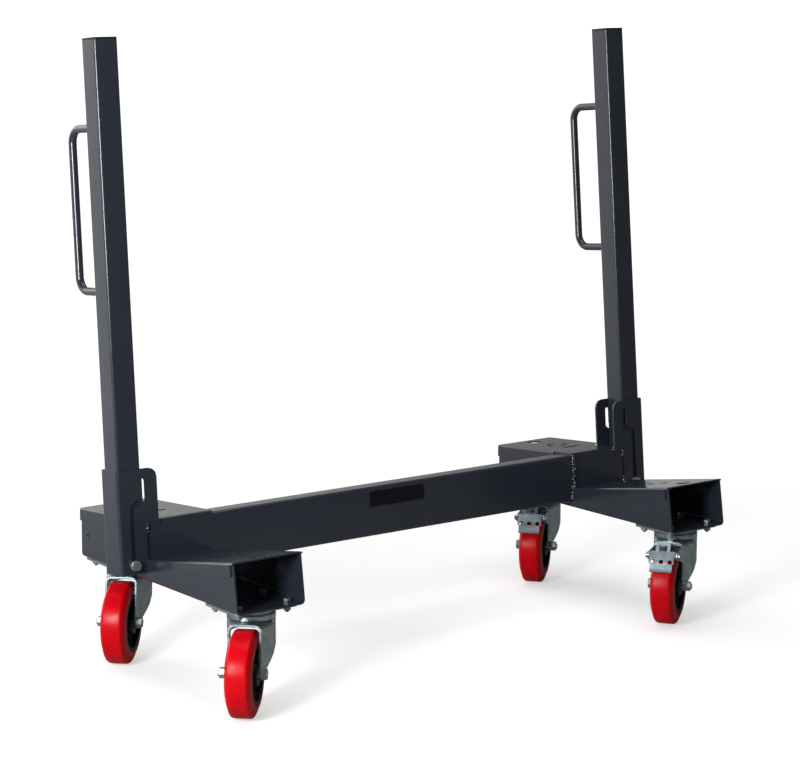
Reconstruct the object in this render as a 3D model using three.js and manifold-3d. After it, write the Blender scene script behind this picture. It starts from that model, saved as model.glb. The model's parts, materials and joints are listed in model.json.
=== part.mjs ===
import * as THREE from "three";
import { mergeVertices } from "three/addons/utils/BufferGeometryUtils.js";
import Module from "manifold-3d";

// A board trolley: a beam between two cross feet on swivel castors, and two uprights that lean back and
// stand in slotted pockets. Millimetres and degrees, +X along the beam, +Y to the rear, +Z up.

// Clearances
const GAP = 0.3; // between pieces that touch or are welded
const RUN = 0.5; // around pieces that turn or slide

// Feet: folded channels with lids
const FOOT_SPACING = 1060; // between the middles of the two feet
const FOOT_WIDTH = 148;
const FOOT_FRONT = 285; // from the castors' mid line to the front end of the floor
const FOOT_REAR = 275;
const FOOT_PLATE = 3;
const FOOT_BEND = 9; // outer radius of the two bottom folds
const END_CUT = 8; // lean of the front end
const TIE_HOLE_DIAMETER = 8;
const TIE_HOLE_INSET = 24; // from the rear end
const TIE_HOLE_HEIGHT = 48; // above the floor of the foot

// Lids
const LID_PLATE = 3;
const LID_FLANGE = 25;
const LID_FOLD = 0.7; // inside radius of the folds
const LID_SETBACK = 8; // the front lid's flanges stop short of the front end
const LID_SEAT = 1; // underside of the rear lid above the beam's top
const BED_SLOPE = 10; // the bed falls towards the beam
const BED_HEIGHT = 95.5; // front edge of the bed above the underside of the foot
const LID_HOLE_DIAMETER = 30;
const LID_HOLE_INSET = 34; // from the outer end of the lid
const RING_RADIUS = 21; // ring of four curved slots
const RING_INSET = 112;
const RING_SLOT_WIDTH = 8;
const RING_SLOT_SWEEP = 56;
const STRAP_SLOT_LENGTH = 46;
const STRAP_SLOT_WIDTH = 10;
const STRAP_SLOT_INSET = 160;

// Beam
const BEAM_HEIGHT = 100;
const BEAM_DEPTH = 50;
const BEAM_WALL = 3;
const BEAM_CORNER = 6;
const BEAM_TOP = 114; // top front edge above the underside of the foot
const FACE_SETBACK = 30; // top front edge behind the castors' mid line
const LEAN = 4.5; // lean of beam, brackets and uprights

// Uprights
const UPRIGHT_SIDE = 50;
const UPRIGHT_WALL = 3;
const UPRIGHT_CORNER = 5;
const UPRIGHT_LENGTH = 1005;
const UPRIGHT_PLAY = 1; // around the upright in its pocket
const CAP_HEIGHT = 4;
const CAP_PLUG = 18;
const HANDLE_DIAMETER = 16;
const HANDLE_REACH = 98; // from the upright to the middle of the bar
const HANDLE_SPAN = 310; // between the middles of its two legs
const HANDLE_HEIGHT = 436; // lower leg above the beam's top
const HANDLE_BEND = 28;

// Brackets: the pockets of the uprights
const BRACKET_PLATE = 4;
const BRACKET_BEND = 6;
const BRACKET_BASE = 95; // below the beam's top
const BRACKET_RISE = 103; // above the beam's top
const BRACKET_WIDTH = 86;
const BRACKET_CORNER = 18;
const BRACKET_LAP = 5; // the front wing laps down over the step face
const SLOT_WIDTH = 11;
const SLOT_JOG = 24; // the upper leg of the slot lies inwards of the lower one
const SLOT_JOG_RISE = 14;
const SLOT_LOWER_LEG = 110;
const SLOT_UPPER_LEG = 33;

// Pivot bolt of an upright
const PIVOT_DIAMETER = 10;
const PIVOT_RISE = 17; // above the upright's foot
const PIVOT_HEAD_ACROSS = 17;
const PIVOT_HEAD_HEIGHT = 6.5;
const PIVOT_NUT_HEIGHT = 8;
const PIVOT_WASHER_DIAMETER = 20;
const PIVOT_WASHER = 1.6;

// Castors
const CASTOR_SPACING = 436; // front to rear
const WHEEL_DIAMETER = 160;
const TRAIL = 65; // axle behind the swivel axis
const TYRE_WIDTH = 50;
const TREAD_WIDTH = 37;
const TYRE_DEPTH = 22; // from tread to core
const TYRE_SHOULDER = 16; // depth of the bevel from tread to side wall
const RIM_THICKNESS = 9;
const WEB_THICKNESS = 10;
const HUB_DIAMETER = 44;
const HUB_WIDTH = 52;
const RIB_COUNT = 8;
const RIB_THICKNESS = 4;
const RIB_INSET = 6; // ribs stop inside the side walls
const SLEEVE_DIAMETER = 20;
const AXLE_DIAMETER = 12;
const AXLE_HEAD_ACROSS = 18;
const AXLE_HEAD_HEIGHT = 7.5;
const AXLE_NUT_HEIGHT = 12;
const AXLE_WASHER_DIAMETER = 21;
const AXLE_WASHER = 2.5;
const FORK_INNER = 55;
const FORK_PLATE = 4;
const FORK_BEND = 11;
const FORK_HEAD_DIAMETER = 90; // round skirt about the swivel axis
const FORK_SHOULDER = 30; // depth of that skirt
const FORK_KNEE = 8; // where the skirt's edge turns down, in front of the swivel axis
const FORK_SWEEP = 29; // rise of the leg's lower edge
const CROWN_TAIL = 2; // crown ends this far in front of the axle
const AXLE_BOSS = 11; // radius of the leg's lower end
const CROWN_GAP = 5; // between tyre and crown
const RACE_HEIGHT = 19.1;
const RACE_LIP = 3; // step round the ring above the fork
const KINGPIN_DIAMETER = 16;
const KINGPIN_HEAD = 5; // how far the countersunk head spreads
const KINGPIN_NUT_ACROSS = 22;
const KINGPIN_NUT_HEIGHT = 8;
const PLATE_LENGTH = 135;
const PLATE_WIDTH = 110;
const PLATE_THICKNESS = 5;
const PLATE_CORNER = 8;
const BOLT_SPACING_X = 105;
const BOLT_SPACING_Y = 78;
const BOLT_DIAMETER = 8;
const BOLT_ACROSS = 13;
const BOLT_HEAD_HEIGHT = 5.3;
const BOLT_NUT_HEIGHT = 8;
const BOLT_TAIL = 2.5;

// Brakes of the two right castors
const BRAKE_ANGLE = 53.5; // pivot seen from the axle, above the horizontal
const BRAKE_CLEAR = 11; // pivot outside the tread
const BRAKE_PIN_DIAMETER = 8;
const BRAKE_PIN_HEAD = 12;
const BRAKE_BARREL = 14;
const BRAKE_EAR = 9;
const CAM_OFFSET = 3;
const CAM_ANGLE = 40; // lobe of the cam away from the tread when the brake is off
const PEDAL_PLATE = 3;
const PEDAL_PLAY = 1.5; // beside the barrel
const TREADLE_WIDTH = 46;
const TAB_WIDTH = 30;
const TAB_RISE = 27;
const TAB_WINDOW = [16, 11];
const STEP_OUT = 20;
const STEP_DROP = 8;
const TREADLE_DROP = 24;
const PEDAL_NOTCH = [8, 7];
const PEDAL_NOTCH_PITCH = 18;

// How each castor stands: corner, side, end, heading and brake
const CASTORS = [
  { name: "front_left", side: -1, end: -1, heading: -44.7, braked: false },
  { name: "rear_left", side: -1, end: 1, heading: -45.5, braked: false },
  { name: "front_right", side: 1, end: -1, heading: -55.5, braked: true },
  { name: "rear_right", side: 1, end: 1, heading: -50.5, braked: true },
];
const SIDES = [
  { name: "left", side: -1 },
  { name: "right", side: 1 },
];

// Facets
const BEND_STEPS = 3; // per quarter turn of a fold
const ROUND_STEPS = 12; // small holes and pins
const HOLE_STEPS = 24; // holes that show
const WHEEL_STEPS = 28;
const HUB_STEPS = 12;
const HEAD_STEPS = 24;
const BAR_SIDES = 8;
const BAR_STEPS = 36;
const FAR = 4000; // reaches past the whole object

// Heights above the floor that stack up from the wheels
const axleHeight = WHEEL_DIAMETER / 2;
const crownUnder = WHEEL_DIAMETER + CROWN_GAP;
const crownTop = crownUnder + FORK_PLATE;
const plateUnder = crownTop + GAP + RACE_HEIGHT + GAP;
const plateTop = plateUnder + PLATE_THICKNESS;
const footBottom = plateTop + GAP;
const footFloor = footBottom + FOOT_PLATE;
const beamTop = footBottom + BEAM_TOP;

// Places along and across the object
const forkFace = FORK_INNER / 2 + FORK_PLATE + GAP;
const washerFace = forkFace + AXLE_WASHER;
const footMiddle = FOOT_SPACING / 2;
const footHalf = FOOT_WIDTH / 2;
const lidHalf = footHalf + GAP + LID_PLATE;
const lidTop = LID_SEAT + LID_PLATE;
const lidBend = LID_PLATE + LID_FOLD;
const uprightSideGap = GAP + LID_PLATE + UPRIGHT_PLAY;
const uprightMiddle = footMiddle + footHalf + uprightSideGap + UPRIGHT_SIDE / 2;
const uprightFront = UPRIGHT_PLAY;
const uprightRear = uprightFront + UPRIGHT_SIDE;
const pocketRear = uprightRear + UPRIGHT_PLAY;
const bracketRear = pocketRear + BRACKET_PLATE;
const bracketFront = -GAP - BRACKET_PLATE;
const bracketOuter = uprightMiddle + UPRIGHT_SIDE / 2 + UPRIGHT_PLAY + BRACKET_PLATE;
const bedFrontEdge = -FOOT_FRONT + BED_HEIGHT * Math.tan(deg(END_CUT));
const pivotHeight = -BRACKET_BASE + PIVOT_RISE;

const X = new THREE.Vector3(1, 0, 0);
const Y = new THREE.Vector3(0, 1, 0);
const Z = new THREE.Vector3(0, 0, 1);
const worldFrame = new THREE.Matrix4();
// The tower leans back about the beam's top front edge; y is rearward off the step face, z up along it.
const towerFrame = new THREE.Matrix4()
  .makeRotationX(-deg(LEAN))
  .setPosition(0, FACE_SETBACK, beamTop);
// The bed starts at the front lids' front edge and falls towards the beam.
const bedFrame = new THREE.Matrix4()
  .makeRotationX(-deg(BED_SLOPE))
  .setPosition(0, bedFrontEdge, footBottom + BED_HEIGHT);

const wasm = await Module();
wasm.setup();

const materials = {
  coat: new THREE.MeshStandardMaterial({ color: 0x35383f, roughness: 0.5, metalness: 0.3 }),
  zinc: new THREE.MeshStandardMaterial({ color: 0xa9b4b8, roughness: 0.35, metalness: 0.9 }),
  tyre: new THREE.MeshStandardMaterial({ color: 0xc80c16, roughness: 0.4, metalness: 0 }),
  core: new THREE.MeshStandardMaterial({ color: 0x0c0c0d, roughness: 0.6, metalness: 0 }),
  plastic: new THREE.MeshStandardMaterial({ color: 0x141416, roughness: 0.55, metalness: 0 }),
};

function deg(angle) {
  return THREE.MathUtils.degToRad(angle);
}

// Solids

function solidOf(geometry, matrix) {
  const bare = geometry.index ? geometry.toNonIndexed() : geometry.clone();
  bare.deleteAttribute("normal");
  bare.deleteAttribute("uv");
  if (matrix) bare.applyMatrix4(matrix);
  const merged = mergeVertices(bare, 1e-4);
  const index = merged.index.array;
  const triangles = [];
  for (let i = 0; i < index.length; i += 3) {
    const [a, b, c] = index.subarray(i, i + 3);
    if (a !== b && b !== c && c !== a) triangles.push(a, b, c);
  }
  return new wasm.Manifold(
    new wasm.Mesh({
      numProp: 3,
      vertProperties: merged.attributes.position.array,
      triVerts: new Uint32Array(triangles),
    }),
  );
}

function meshOf(name, solid, material) {
  const data = solid.getMesh();
  const geometry = new THREE.BufferGeometry();
  geometry.setAttribute("position", new THREE.BufferAttribute(data.vertProperties, 3));
  geometry.setIndex(new THREE.BufferAttribute(data.triVerts, 1));
  const faceted = geometry.toNonIndexed();
  faceted.computeVertexNormals();
  const mesh = new THREE.Mesh(faceted, material);
  mesh.name = name;
  return mesh;
}

function union(...solids) {
  return solids.reduce((whole, next) => whole.add(next));
}

function cut(solid, ...tools) {
  return tools.reduce((rest, tool) => rest.subtract(tool), solid);
}

function box(low, high) {
  const size = high.map((value, i) => value - low[i]);
  const middle = high.map((value, i) => (value + low[i]) / 2);
  const place = new THREE.Matrix4().makeTranslation(...middle);
  return solidOf(new THREE.BoxGeometry(...size), place);
}

// The half of space past an offset along one axis of a frame; sense -1 gives the half before it.
function past(frame, axis, offset, sense = 1) {
  const low = [-FAR, -FAR, -FAR];
  const high = [FAR, FAR, FAR];
  const limit = sense > 0 ? low : high;
  limit["xyz".indexOf(axis)] = offset;
  return box(low, high).transform(frame.elements);
}

function seenFrom(frame, solid) {
  return solid.transform(frame.clone().invert().elements);
}

function outline(points, holes = []) {
  const shape = new THREE.Shape(points.map(([a, b]) => new THREE.Vector2(a, b)));
  shape.holes = holes.map((hole) => new THREE.Path(hole.map(([a, b]) => new THREE.Vector2(a, b))));
  return shape;
}

function arc(a, b, radius, from, to, steps = BEND_STEPS) {
  return Array.from({ length: steps + 1 }, (_, i) => {
    const angle = deg(from + ((to - from) * i) / steps);
    return [a + radius * Math.cos(angle), b + radius * Math.sin(angle)];
  });
}

function circle(a, b, radius, steps = ROUND_STEPS) {
  return arc(a, b, radius, 0, 360, steps).slice(0, -1);
}

function hexagon(a, b, across) {
  return circle(a, b, across / 2 / Math.cos(deg(30)), 6);
}

function rounded(left, low, right, high, radius) {
  return [
    ...arc(right - radius, high - radius, radius, 0, 90),
    ...arc(left + radius, high - radius, radius, 90, 180),
    ...arc(left + radius, low + radius, radius, 180, 270),
    ...arc(right - radius, low + radius, radius, 270, 360),
  ];
}

// A slot with round ends between two points
function stadium([a0, b0], [a1, b1], width) {
  const along = THREE.MathUtils.radToDeg(Math.atan2(b1 - b0, a1 - a0));
  return [
    ...arc(a1, b1, width / 2, along - 90, along + 90, ROUND_STEPS / 2),
    ...arc(a0, b0, width / 2, along + 90, along + 270, ROUND_STEPS / 2),
  ];
}

// A folded channel's section, open upwards from its base to its rim
function channel(half, base, rim, plate, bend) {
  return [
    [-half, rim],
    ...arc(-half + bend, base + bend, bend, 180, 270),
    ...arc(half - bend, base + bend, bend, 270, 360),
    [half, rim],
    [half - plate, rim],
    ...arc(half - bend, base + bend, bend - plate, 360, 270),
    ...arc(-half + bend, base + bend, bend - plate, 270, 180),
    [-half + plate, rim],
  ];
}

// The same section turned over, open downwards from its top
function hood(half, top, rim, plate, bend) {
  return channel(half, -top, -rim, plate, bend).map(([a, b]) => [a, -b]);
}

// A bent strip of plate along a line of points
function strip(points, thickness) {
  const sides = points.map((point, i) => {
    const before = points[Math.max(i - 1, 0)];
    const after = points[Math.min(i + 1, points.length - 1)];
    const into = new THREE.Vector2(point[0] - before[0], point[1] - before[1]).normalize();
    const out = new THREE.Vector2(after[0] - point[0], after[1] - point[1]).normalize();
    const bisector = into.clone().add(out).normalize();
    const along = into.lengthSq() > 0 ? into : out;
    const reach = thickness / 2 / bisector.dot(along);
    return [-bisector.y * reach, bisector.x * reach];
  });
  const left = points.map(([a, b], i) => [a + sides[i][0], b + sides[i][1]]);
  const right = points.map(([a, b], i) => [a - sides[i][0], b - sides[i][1]]);
  return [...left, ...right.reverse()];
}

// Extrusions: along x a shape is drawn in (y, z), along y in (x, z), along z in (x, y)
function prism(axis, shape, from, to) {
  const frames = {
    x: new THREE.Matrix4().makeBasis(Y, Z, X).setPosition(from, 0, 0),
    y: new THREE.Matrix4().makeBasis(X, Z, Y.clone().negate()).setPosition(0, to, 0),
    z: new THREE.Matrix4().setPosition(0, 0, from),
  };
  const options = { depth: to - from, bevelEnabled: false };
  const drawn = shape instanceof THREE.Shape ? shape : outline(shape);
  return solidOf(new THREE.ExtrudeGeometry(drawn, options), frames[axis]);
}

// A solid of revolution about z from a closed profile of (radius, height), anticlockwise
function turned(profile, steps) {
  const points = [...profile, profile[0]].map(([r, h]) => new THREE.Vector2(r, h));
  const upright = new THREE.Matrix4().makeRotationX(deg(90));
  return solidOf(new THREE.LatheGeometry(points, steps, deg(180 / steps)), upright);
}

// Turns a solid made along z so that it lies along x
function laid(solid, y, z) {
  const place = new THREE.Matrix4().makeRotationY(deg(90)).setPosition(0, y, z);
  return solid.transform(place.elements);
}

// Feet

function castorMiddles() {
  return [-CASTOR_SPACING / 2, CASTOR_SPACING / 2];
}

function boltPlaces(middle = 0) {
  const across = [-BOLT_SPACING_X / 2, BOLT_SPACING_X / 2];
  const along = [-BOLT_SPACING_Y / 2, BOLT_SPACING_Y / 2];
  return across.flatMap((x) => along.map((y) => [x, middle + y]));
}

function footSolid() {
  const rim = beamTop + FOOT_WIDTH;
  const section = channel(footHalf, footBottom, rim, FOOT_PLATE, FOOT_BEND);
  const folded = prism("y", section, -FOOT_FRONT, FOOT_REAR);
  const aboveBed = past(bedFrame, "z", -LID_PLATE - GAP);
  const beforeStep = past(towerFrame, "y", LID_PLATE + GAP, -1);
  const aboveRear = past(towerFrame, "z", LID_SEAT - GAP);
  const endFrame = new THREE.Matrix4().makeRotationX(-deg(END_CUT)).setPosition(0, -FOOT_FRONT, footBottom);
  const beforeEnd = past(endFrame, "y", 0, -1);
  const bolts = castorMiddles()
    .flatMap((middle) => boltPlaces(middle))
    .map(([x, y]) => circle(x, y, BOLT_DIAMETER / 2 + RUN, BAR_SIDES))
    .map((hole) => prism("z", hole, footBottom - GAP, footFloor + GAP));
  const tieHole = circle(FOOT_REAR - TIE_HOLE_INSET, footBottom + TIE_HOLE_HEIGHT, TIE_HOLE_DIAMETER / 2);
  const tie = prism("x", tieHole, -FOOT_WIDTH, FOOT_WIDTH);
  return cut(folded, aboveBed.intersect(beforeStep), aboveRear, beforeEnd, tie, ...bolts);
}

// Cut-outs of a lid: a round hole, a ring of curved slots and a straight slot, at distances from its end
function lidCutouts(end, inwards, low, high) {
  const at = (inset) => end + inwards * inset;
  const hole = circle(0, at(LID_HOLE_INSET), LID_HOLE_DIAMETER / 2, HOLE_STEPS);
  const ring = [0, 90, 180, 270].map((turn) => {
    const from = turn - RING_SLOT_SWEEP / 2;
    const to = turn + RING_SLOT_SWEEP / 2;
    const outer = RING_RADIUS + RING_SLOT_WIDTH / 2;
    const inner = RING_RADIUS - RING_SLOT_WIDTH / 2;
    return [...arc(0, at(RING_INSET), outer, from, to), ...arc(0, at(RING_INSET), inner, to, from)];
  });
  const reach = (STRAP_SLOT_LENGTH - STRAP_SLOT_WIDTH) / 2;
  const strap = stadium([-reach, at(STRAP_SLOT_INSET)], [reach, at(STRAP_SLOT_INSET)], STRAP_SLOT_WIDTH);
  return [hole, ...ring, strap].map((shape) => prism("z", shape, low, high));
}

function frontLidSolid() {
  const length = FOOT_FRONT + FOOT_REAR;
  const folded = prism("y", hood(lidHalf, 0, -LID_FLANGE, LID_PLATE, lidBend), 0, length);
  const stepFace = seenFrom(bedFrame, past(towerFrame, "y", -GAP));
  const bracketFace = seenFrom(bedFrame, past(towerFrame, "y", bracketFront - GAP));
  const besideFoot = union(past(worldFrame, "x", footHalf), past(worldFrame, "x", -footHalf, -1));
  const flangeEnds = box([-FAR, -FAR, -FAR], [FAR, LID_SETBACK, -lidBend]);
  const holes = lidCutouts(0, 1, -LID_PLATE - GAP, GAP);
  return cut(folded, stepFace, bracketFace.intersect(besideFoot), flangeEnds, ...holes);
}

function rearLidSolid() {
  const shoulder = bracketRear + GAP;
  const length = FOOT_FRONT + FOOT_REAR;
  const cover = hood(lidHalf, lidTop, lidTop - LID_FLANGE, LID_PLATE, lidBend);
  const wide = prism("y", cover, shoulder, length);
  const fold = [
    [shoulder + lidBend, lidTop],
    ...arc(lidBend, lidTop - lidBend, lidBend, 90, 180),
    [0, -BEAM_HEIGHT],
    [LID_PLATE, -BEAM_HEIGHT],
    ...arc(lidBend, lidTop - lidBend, lidBend - LID_PLATE, 180, 90),
    [shoulder + lidBend, lidTop - LID_PLATE],
  ];
  const step = prism("x", fold, -footHalf, footHalf);
  const underBed = seenFrom(towerFrame, past(bedFrame, "z", -LID_PLATE, -1));
  const rearEnd = seenFrom(towerFrame, past(worldFrame, "y", FOOT_REAR));
  const endOffset = (FOOT_REAR - FACE_SETBACK) / Math.cos(deg(LEAN));
  const holes = lidCutouts(endOffset, -1, LID_SEAT - GAP, lidTop + GAP);
  return cut(union(wide, step.subtract(underBed)), rearEnd, ...holes);
}

// Beam, brackets and uprights, in the leaning tower frame

function beamSolid() {
  const outer = rounded(0, -BEAM_HEIGHT, BEAM_DEPTH, 0, BEAM_CORNER);
  const wall = BEAM_WALL;
  const hollow = rounded(wall, wall - BEAM_HEIGHT, BEAM_DEPTH - wall, -wall, BEAM_CORNER - wall);
  const reach = footMiddle - footHalf - GAP;
  return prism("x", outline(outer, [hollow]), -reach, reach);
}

// Middles of the dog-leg slot, from the pivot at rest up to its top, for one side
function slotPath(side) {
  const inwards = side * (uprightMiddle - SLOT_JOG);
  const jogFoot = pivotHeight + SLOT_LOWER_LEG;
  const jogHead = jogFoot + SLOT_JOG_RISE;
  return [
    [side * uprightMiddle, pivotHeight],
    [side * uprightMiddle, jogFoot],
    [inwards, jogHead],
    [inwards, jogHead + SLOT_UPPER_LEG],
  ];
}

function bracketSolid(side) {
  const inner = bracketOuter - BRACKET_WIDTH;
  const wall = bracketOuter - BRACKET_PLATE;
  const fold = bracketOuter - BRACKET_BEND;
  const bendFront = bracketFront + BRACKET_BEND;
  const bendRear = bracketRear - BRACKET_BEND;
  const insideBend = BRACKET_BEND - BRACKET_PLATE;
  const section = [
    [inner, bracketFront],
    ...arc(fold, bendFront, BRACKET_BEND, -90, 0),
    ...arc(fold, bendRear, BRACKET_BEND, 0, 90),
    [inner, bracketRear],
    [inner, pocketRear],
    ...arc(fold, bendRear, insideBend, 90, 0),
    ...arc(fold, bendFront, insideBend, 0, -90),
    [inner, -GAP],
  ].map(([x, y]) => [side * x, y]);
  const folded = prism("z", section, -BRACKET_BASE, BRACKET_RISE);
  const front = [
    [bracketOuter, -BRACKET_BASE],
    [bracketOuter, BRACKET_RISE],
    ...arc(inner + BRACKET_CORNER, BRACKET_RISE - BRACKET_CORNER, BRACKET_CORNER, 90, 180),
    [inner, -BRACKET_BASE],
  ].map(([x, z]) => [side * x, z]);
  const trimmed = folded.intersect(prism("y", front, 2 * bracketFront, 2 * bracketRear));
  const beside = footMiddle + footHalf + GAP;
  const insides = [side * inner, side * beside].sort((a, b) => a - b);
  const corner = (yLow, yHigh, wingFoot) =>
    box([insides[0] - (side < 0 ? 0 : wall), yLow, -FAR], [insides[1] + (side < 0 ? wall : 0), yHigh, wingFoot]);
  const frontCorner = corner(2 * bracketFront, uprightFront, lidTop - BRACKET_LAP);
  const rearCorner = corner(uprightRear, 2 * bracketRear, lidTop + GAP);
  const path = slotPath(side);
  const slots = path
    .slice(1)
    .map((point, i) => stadium(path[i], point, SLOT_WIDTH))
    .map((shape) => prism("y", shape, 2 * bracketFront, 2 * bracketRear));
  return cut(trimmed, frontCorner, rearCorner, ...slots);
}

// Upright pieces, about the middle of the tube, with z from the beam's top

function squareTube(low, high, side, corner) {
  const half = side / 2;
  return prism("z", rounded(-half, -half, half, half, corner), low, high);
}

function uprightSolid() {
  const half = UPRIGHT_SIDE / 2;
  const inside = half - UPRIGHT_WALL;
  const outer = rounded(-half, -half, half, half, UPRIGHT_CORNER);
  const bore = rounded(-inside, -inside, inside, inside, UPRIGHT_CORNER - UPRIGHT_WALL);
  const tube = prism("z", outline(outer, [bore]), -BRACKET_BASE, UPRIGHT_LENGTH - BRACKET_BASE);
  const hole = circle(0, pivotHeight, PIVOT_DIAMETER / 2 + GAP);
  return tube.subtract(prism("y", hole, -UPRIGHT_SIDE, UPRIGHT_SIDE));
}

function capSolid() {
  const top = UPRIGHT_LENGTH - BRACKET_BASE;
  const plugSide = UPRIGHT_SIDE - 2 * UPRIGHT_WALL - 2 * GAP;
  const lid = squareTube(top + GAP, top + GAP + CAP_HEIGHT, UPRIGHT_SIDE, UPRIGHT_CORNER);
  const plug = squareTube(top - CAP_PLUG, top + 2 * GAP, plugSide, UPRIGHT_CORNER - UPRIGHT_WALL);
  return union(lid, plug);
}

function handleSolid() {
  const rear = UPRIGHT_SIDE / 2 + GAP;
  const bar = UPRIGHT_SIDE / 2 + HANDLE_REACH;
  const low = HANDLE_HEIGHT;
  const high = HANDLE_HEIGHT + HANDLE_SPAN;
  const bend = HANDLE_BEND;
  const point = (y, z) => new THREE.Vector3(0, y, z);
  const corners = [
    [point(bar - bend, low), point(bar, low), point(bar, low + bend)],
    [point(bar, high - bend), point(bar, high), point(bar - bend, high)],
  ];
  const path = new THREE.CurvePath();
  path.add(new THREE.LineCurve3(point(rear, low), corners[0][0]));
  path.add(new THREE.QuadraticBezierCurve3(...corners[0]));
  path.add(new THREE.LineCurve3(corners[0][2], corners[1][0]));
  path.add(new THREE.QuadraticBezierCurve3(...corners[1]));
  path.add(new THREE.LineCurve3(corners[1][2], point(rear, high)));
  const section = outline(circle(0, 0, HANDLE_DIAMETER / 2, BAR_SIDES));
  return solidOf(new THREE.ExtrudeGeometry(section, { steps: BAR_STEPS, extrudePath: path }));
}

function pivotBoltSolid() {
  const face = bracketFront - GAP - uprightFront - UPRIGHT_SIDE / 2;
  const tail = bracketRear + GAP - uprightFront - UPRIGHT_SIDE / 2 + PIVOT_WASHER + PIVOT_NUT_HEIGHT;
  const round = (diameter) => circle(0, pivotHeight, diameter / 2);
  const washer = prism("y", round(PIVOT_WASHER_DIAMETER), face - PIVOT_WASHER, face);
  const hex = hexagon(0, pivotHeight, PIVOT_HEAD_ACROSS);
  const head = prism("y", hex, face - PIVOT_WASHER - PIVOT_HEAD_HEIGHT, face - PIVOT_WASHER);
  const shank = prism("y", round(PIVOT_DIAMETER), face - PIVOT_WASHER, tail + BOLT_TAIL);
  return union(head, washer, shank);
}

function pivotNutSolid() {
  const face = bracketRear + GAP - uprightFront - UPRIGHT_SIDE / 2;
  const round = (diameter) => circle(0, pivotHeight, diameter / 2);
  const washer = prism("y", round(PIVOT_WASHER_DIAMETER), face, face + PIVOT_WASHER);
  const hex = hexagon(0, pivotHeight, PIVOT_HEAD_ACROSS);
  const nut = prism("y", hex, face + PIVOT_WASHER, face + PIVOT_WASHER + PIVOT_NUT_HEIGHT);
  const thread = prism("y", round(PIVOT_DIAMETER + 2 * GAP), face - FOOT_WIDTH, face + FOOT_WIDTH);
  return union(washer, nut).subtract(thread);
}

// Castors, about the swivel axis, with the wheel trailing towards -y

function plateSolid() {
  const plate = prism(
    "z",
    rounded(-PLATE_LENGTH / 2, -PLATE_WIDTH / 2, PLATE_LENGTH / 2, PLATE_WIDTH / 2, PLATE_CORNER),
    plateUnder,
    plateTop,
  );
  const headFoot = footFloor + GAP;
  const bolts = boltPlaces().flatMap(([x, y]) => [
    prism("z", circle(x, y, BOLT_DIAMETER / 2, BAR_SIDES), plateTop - GAP, headFoot + GAP),
    prism("z", hexagon(x, y, BOLT_ACROSS), headFoot, headFoot + BOLT_HEAD_HEIGHT),
    prism("z", hexagon(x, y, BOLT_ACROSS), plateUnder - BOLT_NUT_HEIGHT, plateUnder),
  ]);
  const bore = KINGPIN_DIAMETER / 2 + GAP;
  const sink = [
    [0, plateUnder - GAP],
    [bore, plateUnder - GAP],
    [bore, plateUnder],
    [bore + KINGPIN_HEAD, plateTop],
    [bore + KINGPIN_HEAD, plateTop + GAP],
    [0, plateTop + GAP],
  ];
  return cut(union(plate, ...bolts), turned(sink, ROUND_STEPS));
}

function kingpinSolid() {
  const radius = KINGPIN_DIAMETER / 2;
  const nutTop = crownUnder - RUN;
  const head = plateTop - GAP;
  const pin = [
    [0, nutTop - KINGPIN_NUT_HEIGHT],
    [radius, nutTop - KINGPIN_NUT_HEIGHT],
    [radius, plateUnder],
    [radius + KINGPIN_HEAD * (1 - GAP / PLATE_THICKNESS), head],
    [0, head],
  ];
  const nut = prism("z", hexagon(0, 0, KINGPIN_NUT_ACROSS), nutTop - KINGPIN_NUT_HEIGHT, nutTop);
  return union(turned(pin, ROUND_STEPS), nut);
}

function raceSolid() {
  const low = crownTop + GAP;
  const high = low + RACE_HEIGHT;
  const outer = FORK_HEAD_DIAMETER / 2;
  const bore = KINGPIN_DIAMETER / 2 + RUN;
  const middle = (low + high) / 2;
  return turned(
    [
      [bore, low],
      [outer, low],
      [outer, middle],
      [outer - RACE_LIP, middle + RACE_LIP],
      [outer - RACE_LIP, high],
      [bore, high],
    ],
    HEAD_STEPS,
  );
}

// The fork's round head about the swivel axis, between the tangents from the legs
function headArc(inset) {
  const half = FORK_INNER / 2 + FORK_PLATE - inset;
  const radius = FORK_HEAD_DIAMETER / 2 - inset;
  const neck = AXLE_BOSS - TRAIL;
  const tangent = Math.atan2(neck, half) + Math.acos(radius / Math.hypot(half, neck));
  const start = THREE.MathUtils.radToDeg(tangent);
  return arc(0, 0, radius, start, 180 - start, 4 * BEND_STEPS);
}

// Plan of the fork: that head, and legs that close in on the wheel
function forkPlan(inset) {
  const half = FORK_INNER / 2 + FORK_PLATE - inset;
  const neck = AXLE_BOSS - TRAIL;
  const tail = -TRAIL - WHEEL_DIAMETER;
  return [[half, tail], [half, neck], ...headArc(inset), [-half, neck], [-half, tail]];
}

// That plan raised from the floor, with its top edge rounded
function forkHood(inset, top) {
  const bend = FORK_BEND - inset;
  const options = {
    depth: top - 2 * bend,
    bevelSize: bend,
    bevelThickness: bend,
    bevelOffset: -bend,
    bevelSegments: BEND_STEPS,
  };
  const place = new THREE.Matrix4().setPosition(0, 0, bend);
  return solidOf(new THREE.ExtrudeGeometry(outline(forkPlan(inset)), options), place);
}

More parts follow.
